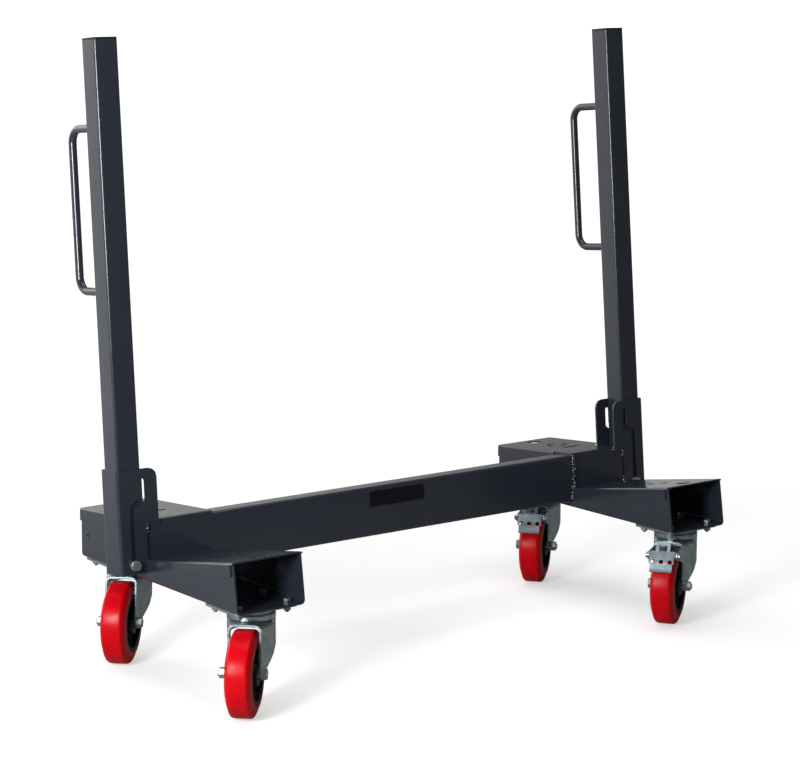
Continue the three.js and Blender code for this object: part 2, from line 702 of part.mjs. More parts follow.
// Side view of the fork: a skirt round the head, a leg swept down to the axle, a straight trailing edge
function legOutline() {
  const lead = FORK_HEAD_DIAMETER / 2 + GAP;
  const boss = arc(-TRAIL, axleHeight, AXLE_BOSS, FORK_SWEEP - 90, -180, 2 * BEND_STEPS);
  const end = new THREE.Vector2(...boss[0]);
  const knee = new THREE.Vector2(FORK_KNEE, crownTop - FORK_SHOULDER);
  const pull = new THREE.Vector2(FORK_KNEE, end.y + (FORK_KNEE - end.x) * Math.tan(deg(FORK_SWEEP)));
  const sweep = new THREE.QuadraticBezierCurve(knee, pull, end).getPoints(2 * BEND_STEPS).slice(0, -1);
  return [
    [CROWN_TAIL - TRAIL, crownTop + GAP],
    [lead, crownTop + GAP],
    [lead, knee.y],
    ...sweep.map((point) => [point.x, point.y]),
    ...boss,
  ];
}

function brakePivot() {
  const reach = WHEEL_DIAMETER / 2 + BRAKE_CLEAR;
  const angle = deg(BRAKE_ANGLE);
  return [-TRAIL - reach * Math.cos(angle), axleHeight + reach * Math.sin(angle)];
}

function earOutline() {
  const [y, z] = brakePivot();
  const root = CROWN_TAIL - TRAIL;
  return [
    [root, crownUnder - FORK_PLATE],
    ...arc(y, z, BRAKE_EAR, 120, 300, 2 * BEND_STEPS),
    [root, z - 3 * BRAKE_EAR],
  ];
}

function forkSolid(braked) {
  const half = FORK_INNER / 2 + FORK_PLATE;
  const head = prism("z", headArc(0), crownTop - FORK_BEND, crownTop);
  const shell = union(forkHood(0, crownTop), head).subtract(forkHood(FORK_PLATE, crownUnder));
  const bare = shell.intersect(prism("x", legOutline(), -FORK_HEAD_DIAMETER, FORK_HEAD_DIAMETER));
  const pivot = prism("z", circle(0, 0, KINGPIN_DIAMETER / 2 + RUN), crownUnder - GAP, crownTop + GAP);
  const axle = prism("x", circle(-TRAIL, axleHeight, AXLE_DIAMETER / 2 + GAP), -2 * half, 2 * half);
  const fork = cut(bare, pivot, axle);
  if (!braked) return fork;
  const ears = shell.intersect(prism("x", earOutline(), -half - GAP, half + GAP));
  const [y, z] = brakePivot();
  const pin = prism("x", circle(y, z, BRAKE_PIN_DIAMETER / 2 + GAP), -2 * half, 2 * half);
  return union(fork, ears).subtract(pin);
}

// The axle's bolt has its head at -x and its nut at +x, each on a washer.
function axleBoltSolid() {
  const round = (diameter) => circle(-TRAIL, axleHeight, diameter / 2);
  const shank = prism("x", round(AXLE_DIAMETER), -washerFace, washerFace + AXLE_NUT_HEIGHT + BOLT_TAIL);
  const washer = prism("x", round(AXLE_WASHER_DIAMETER), -washerFace, -forkFace);
  const hex = hexagon(-TRAIL, axleHeight, AXLE_HEAD_ACROSS);
  return union(shank, washer, prism("x", hex, -washerFace - AXLE_HEAD_HEIGHT, -washerFace));
}

function axleNutSolid() {
  const washer = prism("x", circle(-TRAIL, axleHeight, AXLE_WASHER_DIAMETER / 2), forkFace, washerFace);
  const hex = hexagon(-TRAIL, axleHeight, AXLE_HEAD_ACROSS);
  const nut = prism("x", hex, washerFace, washerFace + AXLE_NUT_HEIGHT);
  const thread = circle(-TRAIL, axleHeight, AXLE_DIAMETER / 2 + GAP);
  return union(washer, nut).subtract(prism("x", thread, 0, 2 * washerFace));
}

function sleeveSolid() {
  const half = FORK_INNER / 2 - GAP;
  const outer = circle(-TRAIL, axleHeight, SLEEVE_DIAMETER / 2);
  const bore = circle(-TRAIL, axleHeight, AXLE_DIAMETER / 2 + GAP);
  return prism("x", outline(outer, [bore]), -half, half);
}

// The facets' flats touch the true circle, so that a wheel stands on a flat at floor level.
function onFlats(radius, steps = WHEEL_STEPS) {
  return radius / Math.cos(Math.PI / steps);
}

function tyreSolid() {
  const half = TYRE_WIDTH / 2;
  const flat = TREAD_WIDTH / 2;
  const tread = onFlats(WHEEL_DIAMETER / 2);
  const wall = tread - TYRE_SHOULDER;
  const bore = onFlats(WHEEL_DIAMETER / 2 - TYRE_DEPTH);
  const profile = [
    [bore, -half],
    [wall, -half],
    [tread, -flat],
    [tread, flat],
    [wall, half],
    [bore, half],
  ];
  return laid(turned(profile, WHEEL_STEPS), -TRAIL, axleHeight);
}

function coreSolid() {
  const rim = onFlats(WHEEL_DIAMETER / 2 - TYRE_DEPTH) - GAP;
  const rimInside = rim - RIM_THICKNESS;
  const rimMiddle = rim - RIM_THICKNESS / 2;
  const hub = HUB_DIAMETER / 2;
  const bore = onFlats(SLEEVE_DIAMETER / 2 + GAP, HUB_STEPS);
  const web = WEB_THICKNESS / 2;
  const half = TYRE_WIDTH / 2;
  const hubHalf = HUB_WIDTH / 2;
  const ring = [
    [rimInside, -half],
    [rim, -half],
    [rim, half],
    [rimInside, half],
  ];
  const centre = [
    [bore, -hubHalf],
    [hub, -hubHalf],
    [hub, -web],
    [rimMiddle, -web],
    [rimMiddle, web],
    [hub, web],
    [hub, hubHalf],
    [bore, hubHalf],
  ];
  const ribHalf = half - RIB_INSET;
  const thick = RIB_THICKNESS / 2;
  const rib = box([(hub + bore) / 2, -thick, -ribHalf], [rimMiddle, thick, ribHalf]);
  const ribs = Array.from({ length: RIB_COUNT }, (_, i) => rib.rotate([0, 0, (360 * i) / RIB_COUNT]));
  const disc = union(turned(ring, WHEEL_STEPS), turned(centre, HUB_STEPS), ...ribs);
  return laid(disc, -TRAIL, axleHeight);
}

function brakePinSolid() {
  const [y, z] = brakePivot();
  const head = (from) => prism("x", circle(y, z, BRAKE_PIN_HEAD / 2), from, from + FORK_PLATE);
  const pin = prism("x", circle(y, z, BRAKE_PIN_DIAMETER / 2), -forkFace - GAP, forkFace + GAP);
  return union(pin, head(-forkFace - FORK_PLATE), head(forkFace));
}

function pedalSolid() {
  const [y, z] = brakePivot();
  const half = FORK_INNER / 2 - PEDAL_PLAY;
  const barrel = prism("x", circle(y, z, BRAKE_BARREL / 2), -half, half);
  const lobe = deg(180 + BRAKE_ANGLE + CAM_ANGLE);
  const cam = circle(y - CAM_OFFSET * Math.cos(lobe), z + CAM_OFFSET * Math.sin(lobe), BRAKE_BARREL / 2);
  const knee = BRAKE_BARREL / 2;
  const line = [
    [-CAM_OFFSET * 2, TAB_RISE],
    [CAM_OFFSET, knee],
    [STEP_OUT, -STEP_DROP],
    [STEP_OUT + CAM_OFFSET, -TREADLE_DROP],
    [STEP_OUT + CAM_OFFSET * 3, -TREADLE_DROP - CAM_OFFSET],
  ].map(([out, up]) => [y - out, z + up]);
  const plate = prism("x", strip(line, PEDAL_PLATE), -half, half);
  const beside = (width, low, high) =>
    [-1, 1].map((side) => {
      const edges = [(side * width) / 2, side * FORK_INNER].sort((a, b) => a - b);
      return box([edges[0], -FAR, low], [edges[1], FAR, high]);
    });
  const tabSides = beside(TAB_WIDTH, z + BRAKE_BARREL / 2 + PEDAL_PLATE, z + FAR);
  const treadleSides = beside(TREADLE_WIDTH, -FAR, z - STEP_DROP - PEDAL_NOTCH[1] / 2);
  const windowLow = z + BRAKE_BARREL / 2 + PEDAL_PLATE;
  const opening = box(
    [-TAB_WINDOW[0] / 2, -FAR, windowLow],
    [TAB_WINDOW[0] / 2, FAR, windowLow + TAB_WINDOW[1]],
  );
  const notchMiddle = z - STEP_DROP;
  const notches = [-1, 0, 1].map((place) => {
    const middle = place * PEDAL_NOTCH_PITCH;
    const reach = PEDAL_NOTCH.map((size) => size / 2);
    const outside = y - BRAKE_BARREL / 2 - PEDAL_PLATE;
    return box(
      [middle - reach[0], -FAR, notchMiddle - reach[1]],
      [middle + reach[0], outside, notchMiddle + reach[1]],
    );
  });
  const formed = cut(plate, ...tabSides, ...treadleSides, opening, ...notches);
  const bore = prism("x", circle(y, z, BRAKE_PIN_DIAMETER / 2 + GAP), -FORK_INNER, FORK_INNER);
  return union(formed, barrel, prism("x", cam, -half / 2, half / 2)).subtract(bore);
}

// Assembly

function group(parent, matrix) {
  const made = new THREE.Group();
  if (matrix) made.applyMatrix4(matrix);
  parent.add(made);
  return made;
}

const cart = new THREE.Group();
cart.name = "board_trolley";
const base = group(cart);
const tower = group(base, towerFrame);
const bed = group(base, bedFrame);

tower.add(meshOf("beam", beamSolid(), materials.coat));

const foot = footSolid();
const frontLid = frontLidSolid();
const rearLid = rearLidSolid();
const uprightPieces = [
  ["upright", uprightSolid(), materials.coat],
  ["upright_cap", capSolid(), materials.plastic],
  ["handle", handleSolid(), materials.coat],
  ["pivot_bolt", pivotBoltSolid(), materials.zinc],
  ["pivot_nut", pivotNutSolid(), materials.zinc],
];
for (const { name, side } of SIDES) {
  const place = (parent, piece, solid) => {
    const mesh = meshOf(`${name}_${piece}`, solid, materials.coat);
    mesh.position.x = side * footMiddle;
    parent.add(mesh);
  };
  place(base, "foot", foot);
  place(bed, "front_lid", frontLid);
  place(tower, "rear_lid", rearLid);
  tower.add(meshOf(`${name}_bracket`, bracketSolid(side), materials.coat));
  const upright = group(tower);
  upright.position.set(side * uprightMiddle, uprightFront + UPRIGHT_SIDE / 2, 0);
  for (const [piece, solid, material] of uprightPieces) upright.add(meshOf(`${name}_${piece}`, solid, material));
}

const fixedPieces = [
  ["castor_plate", plateSolid(), materials.zinc],
  ["kingpin", kingpinSolid(), materials.zinc],
];
const swivelPieces = [
  ["swivel_race", raceSolid(), materials.zinc],
  ["axle_bolt", axleBoltSolid(), materials.zinc],
  ["axle_nut", axleNutSolid(), materials.zinc],
  ["axle_sleeve", sleeveSolid(), materials.zinc],
  ["wheel_core", coreSolid(), materials.core],
  ["tyre", tyreSolid(), materials.tyre],
];
const plainFork = forkSolid(false);
const brakedFork = forkSolid(true);
const brakePieces = [
  ["brake_pin", brakePinSolid(), materials.zinc],
  ["brake_pedal", pedalSolid(), materials.zinc],
];
for (const { name, side, end, heading, braked } of CASTORS) {
  const castor = group(base);
  castor.position.set(side * footMiddle, (end * CASTOR_SPACING) / 2, 0);
  const swivel = group(castor);
  swivel.rotation.z = deg(heading);
  const turning = [["fork", braked ? brakedFork : plainFork, materials.zinc], ...swivelPieces];
  if (braked) turning.push(...brakePieces);
  for (const [piece, solid, material] of fixedPieces) castor.add(meshOf(`${name}_${piece}`, solid, material));
  // The left castors are mirrored, so that their axle nuts face outwards too.
  const outward = (solid) => (side < 0 ? solid.mirror([1, 0, 0]) : solid);
  for (const [piece, solid, material] of turning) {
    swivel.add(meshOf(`${name}_${piece}`, outward(solid), material));
  }
}

// The origin is on the floor, under the middle of the whole object.
const extent = new THREE.Box3().setFromObject(cart, true);
base.position.y = -(extent.min.y + extent.max.y) / 2;

export default cart;
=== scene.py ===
# %% [markdown]
# # Dressing a board trolley
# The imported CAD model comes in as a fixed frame: its nodes already stand in the right place, in metres.
# This lesson gives each node a finish, swaps the round pieces for smoother ones, and adds what a solid
# model leaves out: brake leaves, weld beads, bolt ends, rivet nuts and a bare label plate.

# %% Load the frame
import json
import math

import bmesh
import bpy
from mathutils import Matrix, Vector


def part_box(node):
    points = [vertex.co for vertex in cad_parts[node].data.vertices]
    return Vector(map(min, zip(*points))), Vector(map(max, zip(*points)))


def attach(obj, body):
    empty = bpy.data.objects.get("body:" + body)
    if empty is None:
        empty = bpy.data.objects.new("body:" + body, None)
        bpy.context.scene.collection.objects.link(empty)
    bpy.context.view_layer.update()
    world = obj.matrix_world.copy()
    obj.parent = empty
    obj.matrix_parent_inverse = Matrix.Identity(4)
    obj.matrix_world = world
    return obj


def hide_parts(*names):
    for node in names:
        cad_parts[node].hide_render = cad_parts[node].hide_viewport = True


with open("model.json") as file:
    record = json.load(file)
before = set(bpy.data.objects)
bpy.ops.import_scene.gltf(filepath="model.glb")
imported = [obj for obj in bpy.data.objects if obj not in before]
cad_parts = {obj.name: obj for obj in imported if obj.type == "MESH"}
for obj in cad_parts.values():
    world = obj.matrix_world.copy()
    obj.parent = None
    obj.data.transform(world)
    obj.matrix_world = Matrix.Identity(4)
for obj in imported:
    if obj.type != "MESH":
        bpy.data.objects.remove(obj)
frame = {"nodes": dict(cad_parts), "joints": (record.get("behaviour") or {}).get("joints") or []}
nodes = frame["nodes"]
joints = {joint["name"]: joint for joint in frame["joints"]}
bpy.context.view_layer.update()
scene = bpy.context.scene
scene.view_settings.view_transform = "Standard"

# %% [markdown]
# ## The studio
# The photograph is a cut-out on white with faint shadows, yet the paint mirrors a dim room: the front faces
# are dark, the left ones bright, and the front of the left upright is lighter than that of the right one.
# So the floor and the air show white to the camera only. A Light Path node tells the camera's rays from all
# others, and a helper measures how far a place lies from the middle or in a direction.

# %% Helpers for light and shade
NOISE_LOW, NOISE_HIGH = 0.3, 0.7  # a noise texture lies mostly between these


def value_between(tree, factor, low, high, start=NOISE_LOW, stop=NOISE_HIGH):
    spread = tree.nodes.new("ShaderNodeMapRange")
    spread.inputs["From Min"].default_value = start
    spread.inputs["From Max"].default_value = stop
    spread.inputs["To Min"].default_value = low
    spread.inputs["To Max"].default_value = high
    tree.links.new(factor, spread.inputs["Value"])
    return spread.outputs["Result"]


def reach(tree, direction=None):
    """How far a place, or a ray of the air, lies in a direction, or from the middle of the floor."""
    place = tree.nodes.new("ShaderNodeTexCoord").outputs["Object"]
    measure = tree.nodes.new("ShaderNodeVectorMath")
    measure.operation = "DOT_PRODUCT" if direction else "LENGTH"
    if direction:
        measure.inputs[1].default_value = direction
    tree.links.new(place, measure.inputs[0])
    return measure.outputs["Value"]


def to_camera(tree):
    return tree.nodes.new("ShaderNodeLightPath").outputs["Is Camera Ray"]


print("helpers: value_between, reach, to_camera")

# %% [markdown]
# ### Floor
# To the camera the floor is pale paper that glows, and glows more away from the middle, so only the shadows
# near the wheels show. To all other rays it is grey, with a glow of its own far behind on the left. The left
# faces of the frame mirror that glow. A real studio would have a white wall there.

# %% Floor
FLOOR_SIZE = 400.0
FLOOR_GREY, FLOOR_PALE = 0.4, 0.8
PAPER_ROUGHNESS, PAPER_SPECULAR = 0.9, 0.1
GLOW_START, GLOW_STOP, GLOW_NEAR, GLOW_FAR = 0.5, 5.0, 0.5, 0.92
LIGHT_SIDE = (-0.25, 0.965, 0.08)
WALL_START, WALL_STOP, WALL_GLOW = 0.8, 3.2, 0.66


def studio_paper():
    paper = bpy.data.materials.new("studio_paper")
    paper.use_nodes = True
    tree = paper.node_tree
    shader = tree.nodes["Principled BSDF"]
    grey = value_between(tree, to_camera(tree), FLOOR_GREY, FLOOR_PALE, 0.0, 1.0)
    tree.links.new(grey, shader.inputs["Base Color"])
    shader.inputs["Roughness"].default_value = PAPER_ROUGHNESS
    shader.inputs["Specular IOR Level"].default_value = PAPER_SPECULAR
    shader.inputs["Emission Color"].default_value = (1, 1, 1, 1)
    seen = value_between(tree, reach(tree), GLOW_NEAR, GLOW_FAR, GLOW_START, GLOW_STOP)
    wall = value_between(tree, reach(tree, LIGHT_SIDE), 0.0, WALL_GLOW, WALL_START, WALL_STOP)
    glow = tree.nodes.new("ShaderNodeMix")
    for source, socket in ((to_camera(tree), "Factor"), (wall, "A"), (seen, "B")):
        tree.links.new(source, glow.inputs[socket])
    tree.links.new(glow.outputs["Result"], shader.inputs["Emission Strength"])
    return paper


half = FLOOR_SIZE / 2
floor_mesh = bpy.data.meshes.new("studio_floor")
floor_corners = [(-half, -half, 0), (half, -half, 0), (half, half, 0), (-half, half, 0)]
floor_mesh.from_pydata(floor_corners, [], [(0, 1, 2, 3)])
floor_mesh.materials.append(studio_paper())
floor = bpy.data.objects.new("studio_floor", floor_mesh)
scene.collection.objects.link(floor)
print("floor:", FLOOR_SIZE, "m wide")

# %% [markdown]
# ### Panels and air
# A soft strip stands on the left. It is near enough to fade towards the right, and the folded corners mirror
# it as a line of light. A wide panel hangs overhead. The air is dim all round, with a broad bright field
# behind on the left, which the lids mirror.

# %% Panels and air
AIR_DIM, AIR_BRIGHT, AIR_POWER = 0.12, 2.9, 8.0
AIR_EDGE = -0.35  # where the bright field starts, as a cosine from its middle


def soft_panel(name, place, target, width, height, watts):
    lamp = bpy.data.lights.new(name, "AREA")
    lamp.shape = "RECTANGLE"
    lamp.size = width
    lamp.size_y = height
    lamp.energy = watts
    panel = bpy.data.objects.new(name, lamp)
    panel.location = place
    panel.rotation_euler = (Vector(target) - Vector(place)).to_track_quat("-Z", "Y").to_euler()
    panel.visible_camera = False
    scene.collection.objects.link(panel)


def graded_air():
    world = bpy.data.worlds.new("studio_air")
    scene.world = world
    world.use_nodes = True
    tree = world.node_tree
    background = tree.nodes["Background"]
    background.inputs["Color"].default_value = (1, 1, 1, 1)
    steep = tree.nodes.new("ShaderNodeMath")
    steep.operation = "POWER"
    steep.inputs[1].default_value = AIR_POWER
    nearness = value_between(tree, reach(tree, LIGHT_SIDE), 0.0, 1.0, AIR_EDGE, 1.0)
    tree.links.new(nearness, steep.inputs[0])
    strength = tree.nodes.new("ShaderNodeMath")
    strength.operation = "MAXIMUM"
    graded = value_between(tree, steep.outputs[0], AIR_DIM, AIR_BRIGHT, 0.0, 1.0)
    tree.links.new(graded, strength.inputs[0])
    tree.links.new(to_camera(tree), strength.inputs[1])
    tree.links.new(strength.outputs[0], background.inputs["Strength"])


soft_panel("top_panel", place=(0.2, 0, 3.2), target=(0.1, 0, 0), width=2.4, height=2.4, watts=32)
soft_panel(
    "front_panel", place=(-2.6, -1.05, 1.13), target=(-0.6, 0, 0.95), width=0.6, height=0.85, watts=60
)
graded_air()
print("studio: two panels and graded air")

# %% [markdown]
# ## The camera
# The place, aim and lens come from fitting the CAD sizes to edges measured in the photograph. The picture
# looks straightened, as by a shifted lens, so the frame is shifted too, to keep the uprights from spreading.

# %% Camera
IMAGE_WIDTH, IMAGE_HEIGHT = 800, 763
CAMERA_PLACE = (-2.8916, -3.7883, 1.3339)
CAMERA_YAW, CAMERA_PITCH = 36.884, 6.477
CAMERA_FOCUS = 2407.3  # in pixels of the image
PRINCIPAL_ROW = 248.0
SENSOR_WIDTH = 36.0
CAMERA_SIGHT = 500.0

camera = bpy.data.objects.new("camera", bpy.data.cameras.new("camera"))
scene.collection.objects.link(camera)
scene.camera = camera
yaw, pitch = math.radians(CAMERA_YAW), math.radians(CAMERA_PITCH)
aim = Vector((math.sin(yaw) * math.cos(pitch), math.cos(yaw) * math.cos(pitch), -math.sin(pitch)))
camera.location = CAMERA_PLACE
camera.rotation_euler = aim.to_track_quat("-Z", "Y").to_euler()
camera.data.sensor_width = SENSOR_WIDTH
camera.data.lens = CAMERA_FOCUS * SENSOR_WIDTH / IMAGE_WIDTH
camera.data.shift_y = (PRINCIPAL_ROW - IMAGE_HEIGHT / 2) / IMAGE_WIDTH
camera.data.clip_end = CAMERA_SIGHT
print("camera: lens", round(camera.data.lens, 1), "mm, shift", round(camera.data.shift_y, 3))

# %% [markdown]
# ## Finishes
# Every finish is a Principled shader whose colour, roughness and bump come from noise on Object
# coordinates. The objects sit at the origin, so the pattern has the same scale on every piece: a scale of
# 900 means 900 grains in a metre. Helpers build the nodes, and each finish then only names its own values.

# %% Helpers for finishes


def new_finish(name, metallic=0.0, specular=0.5, gloss=0.0):
    material = bpy.data.materials.new(name)
    material.use_nodes = True
    shader = material.node_tree.nodes["Principled BSDF"]
    shader.inputs["Metallic"].default_value = metallic
    shader.inputs["Specular IOR Level"].default_value = specular
    shader.inputs["Coat Weight"].default_value = gloss
    return material, material.node_tree, shader


def noise(tree, scale, detail=3.0, stretch=None):
    place = tree.nodes.new("ShaderNodeTexCoord").outputs["Object"]
    if stretch:
        mapping = tree.nodes.new("ShaderNodeMapping")
        mapping.inputs["Scale"].default_value = stretch
        tree.links.new(place, mapping.inputs["Vector"])
        place = mapping.outputs["Vector"]
    texture = tree.nodes.new("ShaderNodeTexNoise")
    texture.inputs["Scale"].default_value = scale
    texture.inputs["Detail"].default_value = detail
    tree.links.new(place, texture.inputs["Vector"])
    return texture.outputs["Fac"]


def colour_between(tree, factor, low, high):
    ramp = tree.nodes.new("ShaderNodeValToRGB")
    ramp.color_ramp.elements[0].position = NOISE_LOW
    ramp.color_ramp.elements[1].position = NOISE_HIGH
    ramp.color_ramp.elements[0].color = (*low, 1)
    ramp.color_ramp.elements[1].color = (*high, 1)
    tree.links.new(factor, ramp.inputs["Fac"])
    return ramp.outputs["Color"]


def roughen(tree, shader, *layers):
    """Each layer is a height, a strength and a depth in metres, laid over the layer before it."""
    normal = None
    for layer in layers:
        bump = tree.nodes.new("ShaderNodeBump")
        bump.inputs["Strength"].default_value = layer["strength"]
        bump.inputs["Distance"].default_value = layer["depth"]
        tree.links.new(layer["height"], bump.inputs["Height"])
        if normal is not None:
            tree.links.new(normal, bump.inputs["Normal"])
        normal = bump.outputs["Normal"]
    tree.links.new(normal, shader.inputs["Normal"])


print("helpers: new_finish, noise, colour_between, roughen")

# %% [markdown]
# ### Powder coat
# The frame is sprayed with anthracite powder and baked. It is satin, a little blue, and its skin has the
# fine waviness called orange peel: bumps about a millimetre across, with a finer grain on top. A thin clear
# layer over it draws the sharp lines of light on the folded corners. On a weld that layer is thicker.

# %% Powder coat
COAT_DARK, COAT_LIGHT = (0.0205, 0.0255, 0.0375), (0.0245, 0.0305, 0.0445)
GLOSS_ROUGHNESS = 0.1


def powder_coat(name, specular, rough_low, rough_high, gloss, gloss_ior):
    material, tree, shader = new_finish(name, specular=specular, gloss=gloss)
    shader.inputs["Coat IOR"].default_value = gloss_ior
    shader.inputs["Coat Roughness"].default_value = GLOSS_ROUGHNESS
    cloud = noise(tree, scale=7.0, detail=4.0)
    tree.links.new(colour_between(tree, cloud, COAT_DARK, COAT_LIGHT), shader.inputs["Base Color"])
    patch = noise(tree, scale=60.0)
    tree.links.new(value_between(tree, patch, rough_low, rough_high), shader.inputs["Roughness"])
    peel = noise(tree, scale=420.0, detail=2.0)
    grain = noise(tree, scale=2600.0, detail=1.0)
    roughen(
        tree, shader,
        {"height": peel, "strength": 0.02, "depth": 0.0004},
        {"height": grain, "strength": 0.012, "depth": 0.0002},
    )
    return material


coat = powder_coat(
    "powder_coat", specular=0.45, rough_low=0.2, rough_high=0.28, gloss=0.35, gloss_ior=1.5
)
coat_on_weld = powder_coat(
    "powder_coat_on_weld", specular=1.0, rough_low=0.1, rough_high=0.16, gloss=1.0, gloss_ior=1.9
)
print("finish:", coat.name, "and", coat_on_weld.name)

# %% [markdown]
# ### Zinc plate
# Forks, pins, bolts and nuts are steel with bright zinc on them. Zinc is bluish and cloudy, with soft
# patches that reflect more or less sharply, and faint drawing marks from the press. The bolts and nuts
# get a lighter zinc, lightest on the nuts, as painted highlight. The pedals and the castor plates get a
# rougher zinc whose darker colour is painted shade.

# %% Zinc plate


def zinc_plate(name, dark, light, rough_low, rough_high):
    material, tree, shader = new_finish(name, metallic=1.0)
    cloud = noise(tree, scale=45.0, detail=5.0)
    tree.links.new(colour_between(tree, cloud, dark, light), shader.inputs["Base Color"])
    patch = noise(tree, scale=140.0, detail=4.0)
    tree.links.new(value_between(tree, patch, rough_low, rough_high), shader.inputs["Roughness"])
    marks = noise(tree, scale=90.0, detail=2.0, stretch=(1.0, 1.0, 14.0))
    pits = noise(tree, scale=1500.0, detail=2.0)
    roughen(
        tree, shader,
        {"height": marks, "strength": 0.05, "depth": 0.0004},
        {"height": pits, "strength": 0.06, "depth": 0.0002},
    )
    return material


zinc = zinc_plate(
    "zinc_plate", dark=(0.26, 0.325, 0.345), light=(0.42, 0.49, 0.51), rough_low=0.24, rough_high=0.4
)
# Lighter copies of the zinc for bolts and for nuts: their lighter colour is painted highlight.
zinc_bolt = zinc_plate(
    "zinc_bolt", dark=(0.4, 0.43, 0.44), light=(0.54, 0.56, 0.56), rough_low=0.52, rough_high=0.66
)
zinc_nut = zinc_plate(
    "zinc_nut", dark=(0.5, 0.53, 0.54), light=(0.66, 0.68, 0.68), rough_low=0.38, rough_high=0.52
)
# A darker, rougher copy of the zinc: the darker colour is painted shade.
zinc_dull = zinc_plate(
    "zinc_dull", dark=(0.24, 0.29, 0.31), light=(0.36, 0.42, 0.44), rough_low=0.52, rough_high=0.64
)
print("finish:", zinc.name, zinc_bolt.name, zinc_nut.name, zinc_dull.name)

# %% [markdown]
# ### Tyre, core and plastic
# The tyres are cast polyurethane: a strong even red, smooth and slightly waxy. The wheel cores, the upright
# caps and the label plate are black plastic with a fine spark texture.

# %% Tyre, core and plastic
RED_DARK, RED_LIGHT = (0.66, 0.0004, 0.005), (0.77, 0.0006, 0.007)


def cast_red():
    material, tree, shader = new_finish("cast_red", specular=0.16)
    cloud = noise(tree, scale=30.0, detail=4.0)
    tree.links.new(colour_between(tree, cloud, RED_DARK, RED_LIGHT), shader.inputs["Base Color"])
    patch = noise(tree, scale=85.0)
    tree.links.new(value_between(tree, patch, low=0.26, high=0.36), shader.inputs["Roughness"])
    ripple = noise(tree, scale=420.0, detail=2.0)
    roughen(tree, shader, {"height": ripple, "strength": 0.06, "depth": 0.0005})
    return material


def moulded_black(name, grain_scale, specular, dark, light, rough_low, rough_high):
    material, tree, shader = new_finish(name, specular=specular)
    cloud = noise(tree, scale=25.0)
    tree.links.new(colour_between(tree, cloud, dark, light), shader.inputs["Base Color"])
    patch = noise(tree, scale=110.0)
    tree.links.new(value_between(tree, patch, rough_low, rough_high), shader.inputs["Roughness"])
    grain = noise(tree, grain_scale, detail=2.0)
    roughen(tree, shader, {"height": grain, "strength": 0.2, "depth": 0.0002})
    return material


red = cast_red()
core_black = moulded_black(
    "core_black", grain_scale=1400.0, specular=0.28,
    dark=(0.0034, 0.0031, 0.0033), light=(0.0056, 0.0052, 0.0054), rough_low=0.42, rough_high=0.56,
)
cap_black = moulded_black(
    "cap_black", grain_scale=1900.0, specular=0.3,
    dark=(0.008, 0.008, 0.009), light=(0.014, 0.014, 0.016), rough_low=0.42, rough_high=0.58,
)
label_black = moulded_black(
    "label_black", grain_scale=2400.0, specular=0.2,
    dark=(0.004, 0.004, 0.005), light=(0.006, 0.006, 0.007), rough_low=0.42, rough_high=0.58,
)
print("finish:", red.name, core_black.name, cap_black.name, label_black.name)

# %% [markdown]
# ## Dressing the CAD nodes
# A CAD node is a set of loose triangles. Its mesh may not be changed, but modifiers may sit on it: Weld
# joins the triangles, Decimate melts the flat ones into whole faces, and Bevel rounds the sharp edges so
# that they catch a line of light as painted steel does. Smooth shading then rounds the folded corners.

# %% Dress the CAD nodes
SHEET_EDGE, BOLT_EDGE, CAP_EDGE = 0.0006, 0.0007, 0.0012
EDGE_SEGMENTS = 2
JOIN_DISTANCE = 1e-5
FLAT_ANGLE, EDGE_ANGLE = math.radians(1), math.radians(40)


def dress(name, material, edge):
    node = nodes[name]
    node.data.materials.clear()
    node.data.materials.append(material)
    node.data.shade_smooth()
    node.modifiers.new("join", "WELD").merge_threshold = JOIN_DISTANCE
    flat = node.modifiers.new("flat_faces", "DECIMATE")
    flat.decimate_type = "DISSOLVE"
    flat.angle_limit = FLAT_ANGLE
    bevel = node.modifiers.new("soft_edge", "BEVEL")
    bevel.width = edge
    bevel.segments = EDGE_SEGMENTS
    bevel.limit_method = "ANGLE"
    bevel.angle_limit = EDGE_ANGLE
    bevel.harden_normals = True
    shading = node.modifiers.new("even_faces", "WEIGHTED_NORMAL")
    shading.keep_sharp = True


FINISHES = {
    ("beam", "foot", "lid", "bracket", "upright"): (coat, SHEET_EDGE),
    ("fork", "brake_pin"): (zinc, SHEET_EDGE),
    # Pedals and castor plates take the darker zinc as painted shade; bolts and nuts take the lighter zinc as
    # painted highlight.
    ("brake_pedal", "castor_plate"): (zinc_dull, SHEET_EDGE),
    ("axle_bolt",): (zinc_bolt, BOLT_EDGE),
    ("pivot_bolt", "nut", "kingpin", "axle_sleeve"): (zinc_nut, BOLT_EDGE),
    ("upright_cap",): (cap_black, CAP_EDGE),
}
dressed = []
for endings, (finish, edge) in FINISHES.items():
    for name in nodes:
        if name.endswith(endings):
            dress(name, finish, edge)
            dressed.append(name)
print("dressed:", len(dressed), "nodes")

# %% [markdown]
# ## Helpers for new pieces
# A turned piece is a profile spun about an axis. A finished piece keeps its object at the origin, so its
# place goes into the mesh. Each one then rides on a body, and may stand for CAD nodes.

# %% Helpers for new pieces
SHARP_ANGLE = 35.0


def spun(profile, steps):
    """A closed ring from a closed profile of (radius, height), spun about Z."""
    mesh = bmesh.new()
    rings = []
    for step in range(steps):
        turn = math.tau * step / steps
        rings.append([mesh.verts.new((r * math.cos(turn), r * math.sin(turn), h)) for r, h in profile])
    count = len(profile)
    for step in range(steps):
        here, there = rings[step], rings[(step + 1) % steps]
        for i in range(count):
            j = (i + 1) % count
            mesh.faces.new((here[i], there[i], there[j], here[j]))
    bmesh.ops.recalc_face_normals(mesh, faces=mesh.faces)
    return mesh


def mesh_from(name, built, material):
    mesh = bpy.data.meshes.new(name)
    built.to_mesh(mesh)
    built.free()
    mesh.materials.append(material)
    mesh.shade_smooth()
    mesh.set_sharp_from_angle(angle=math.radians(SHARP_ANGLE))
    return mesh


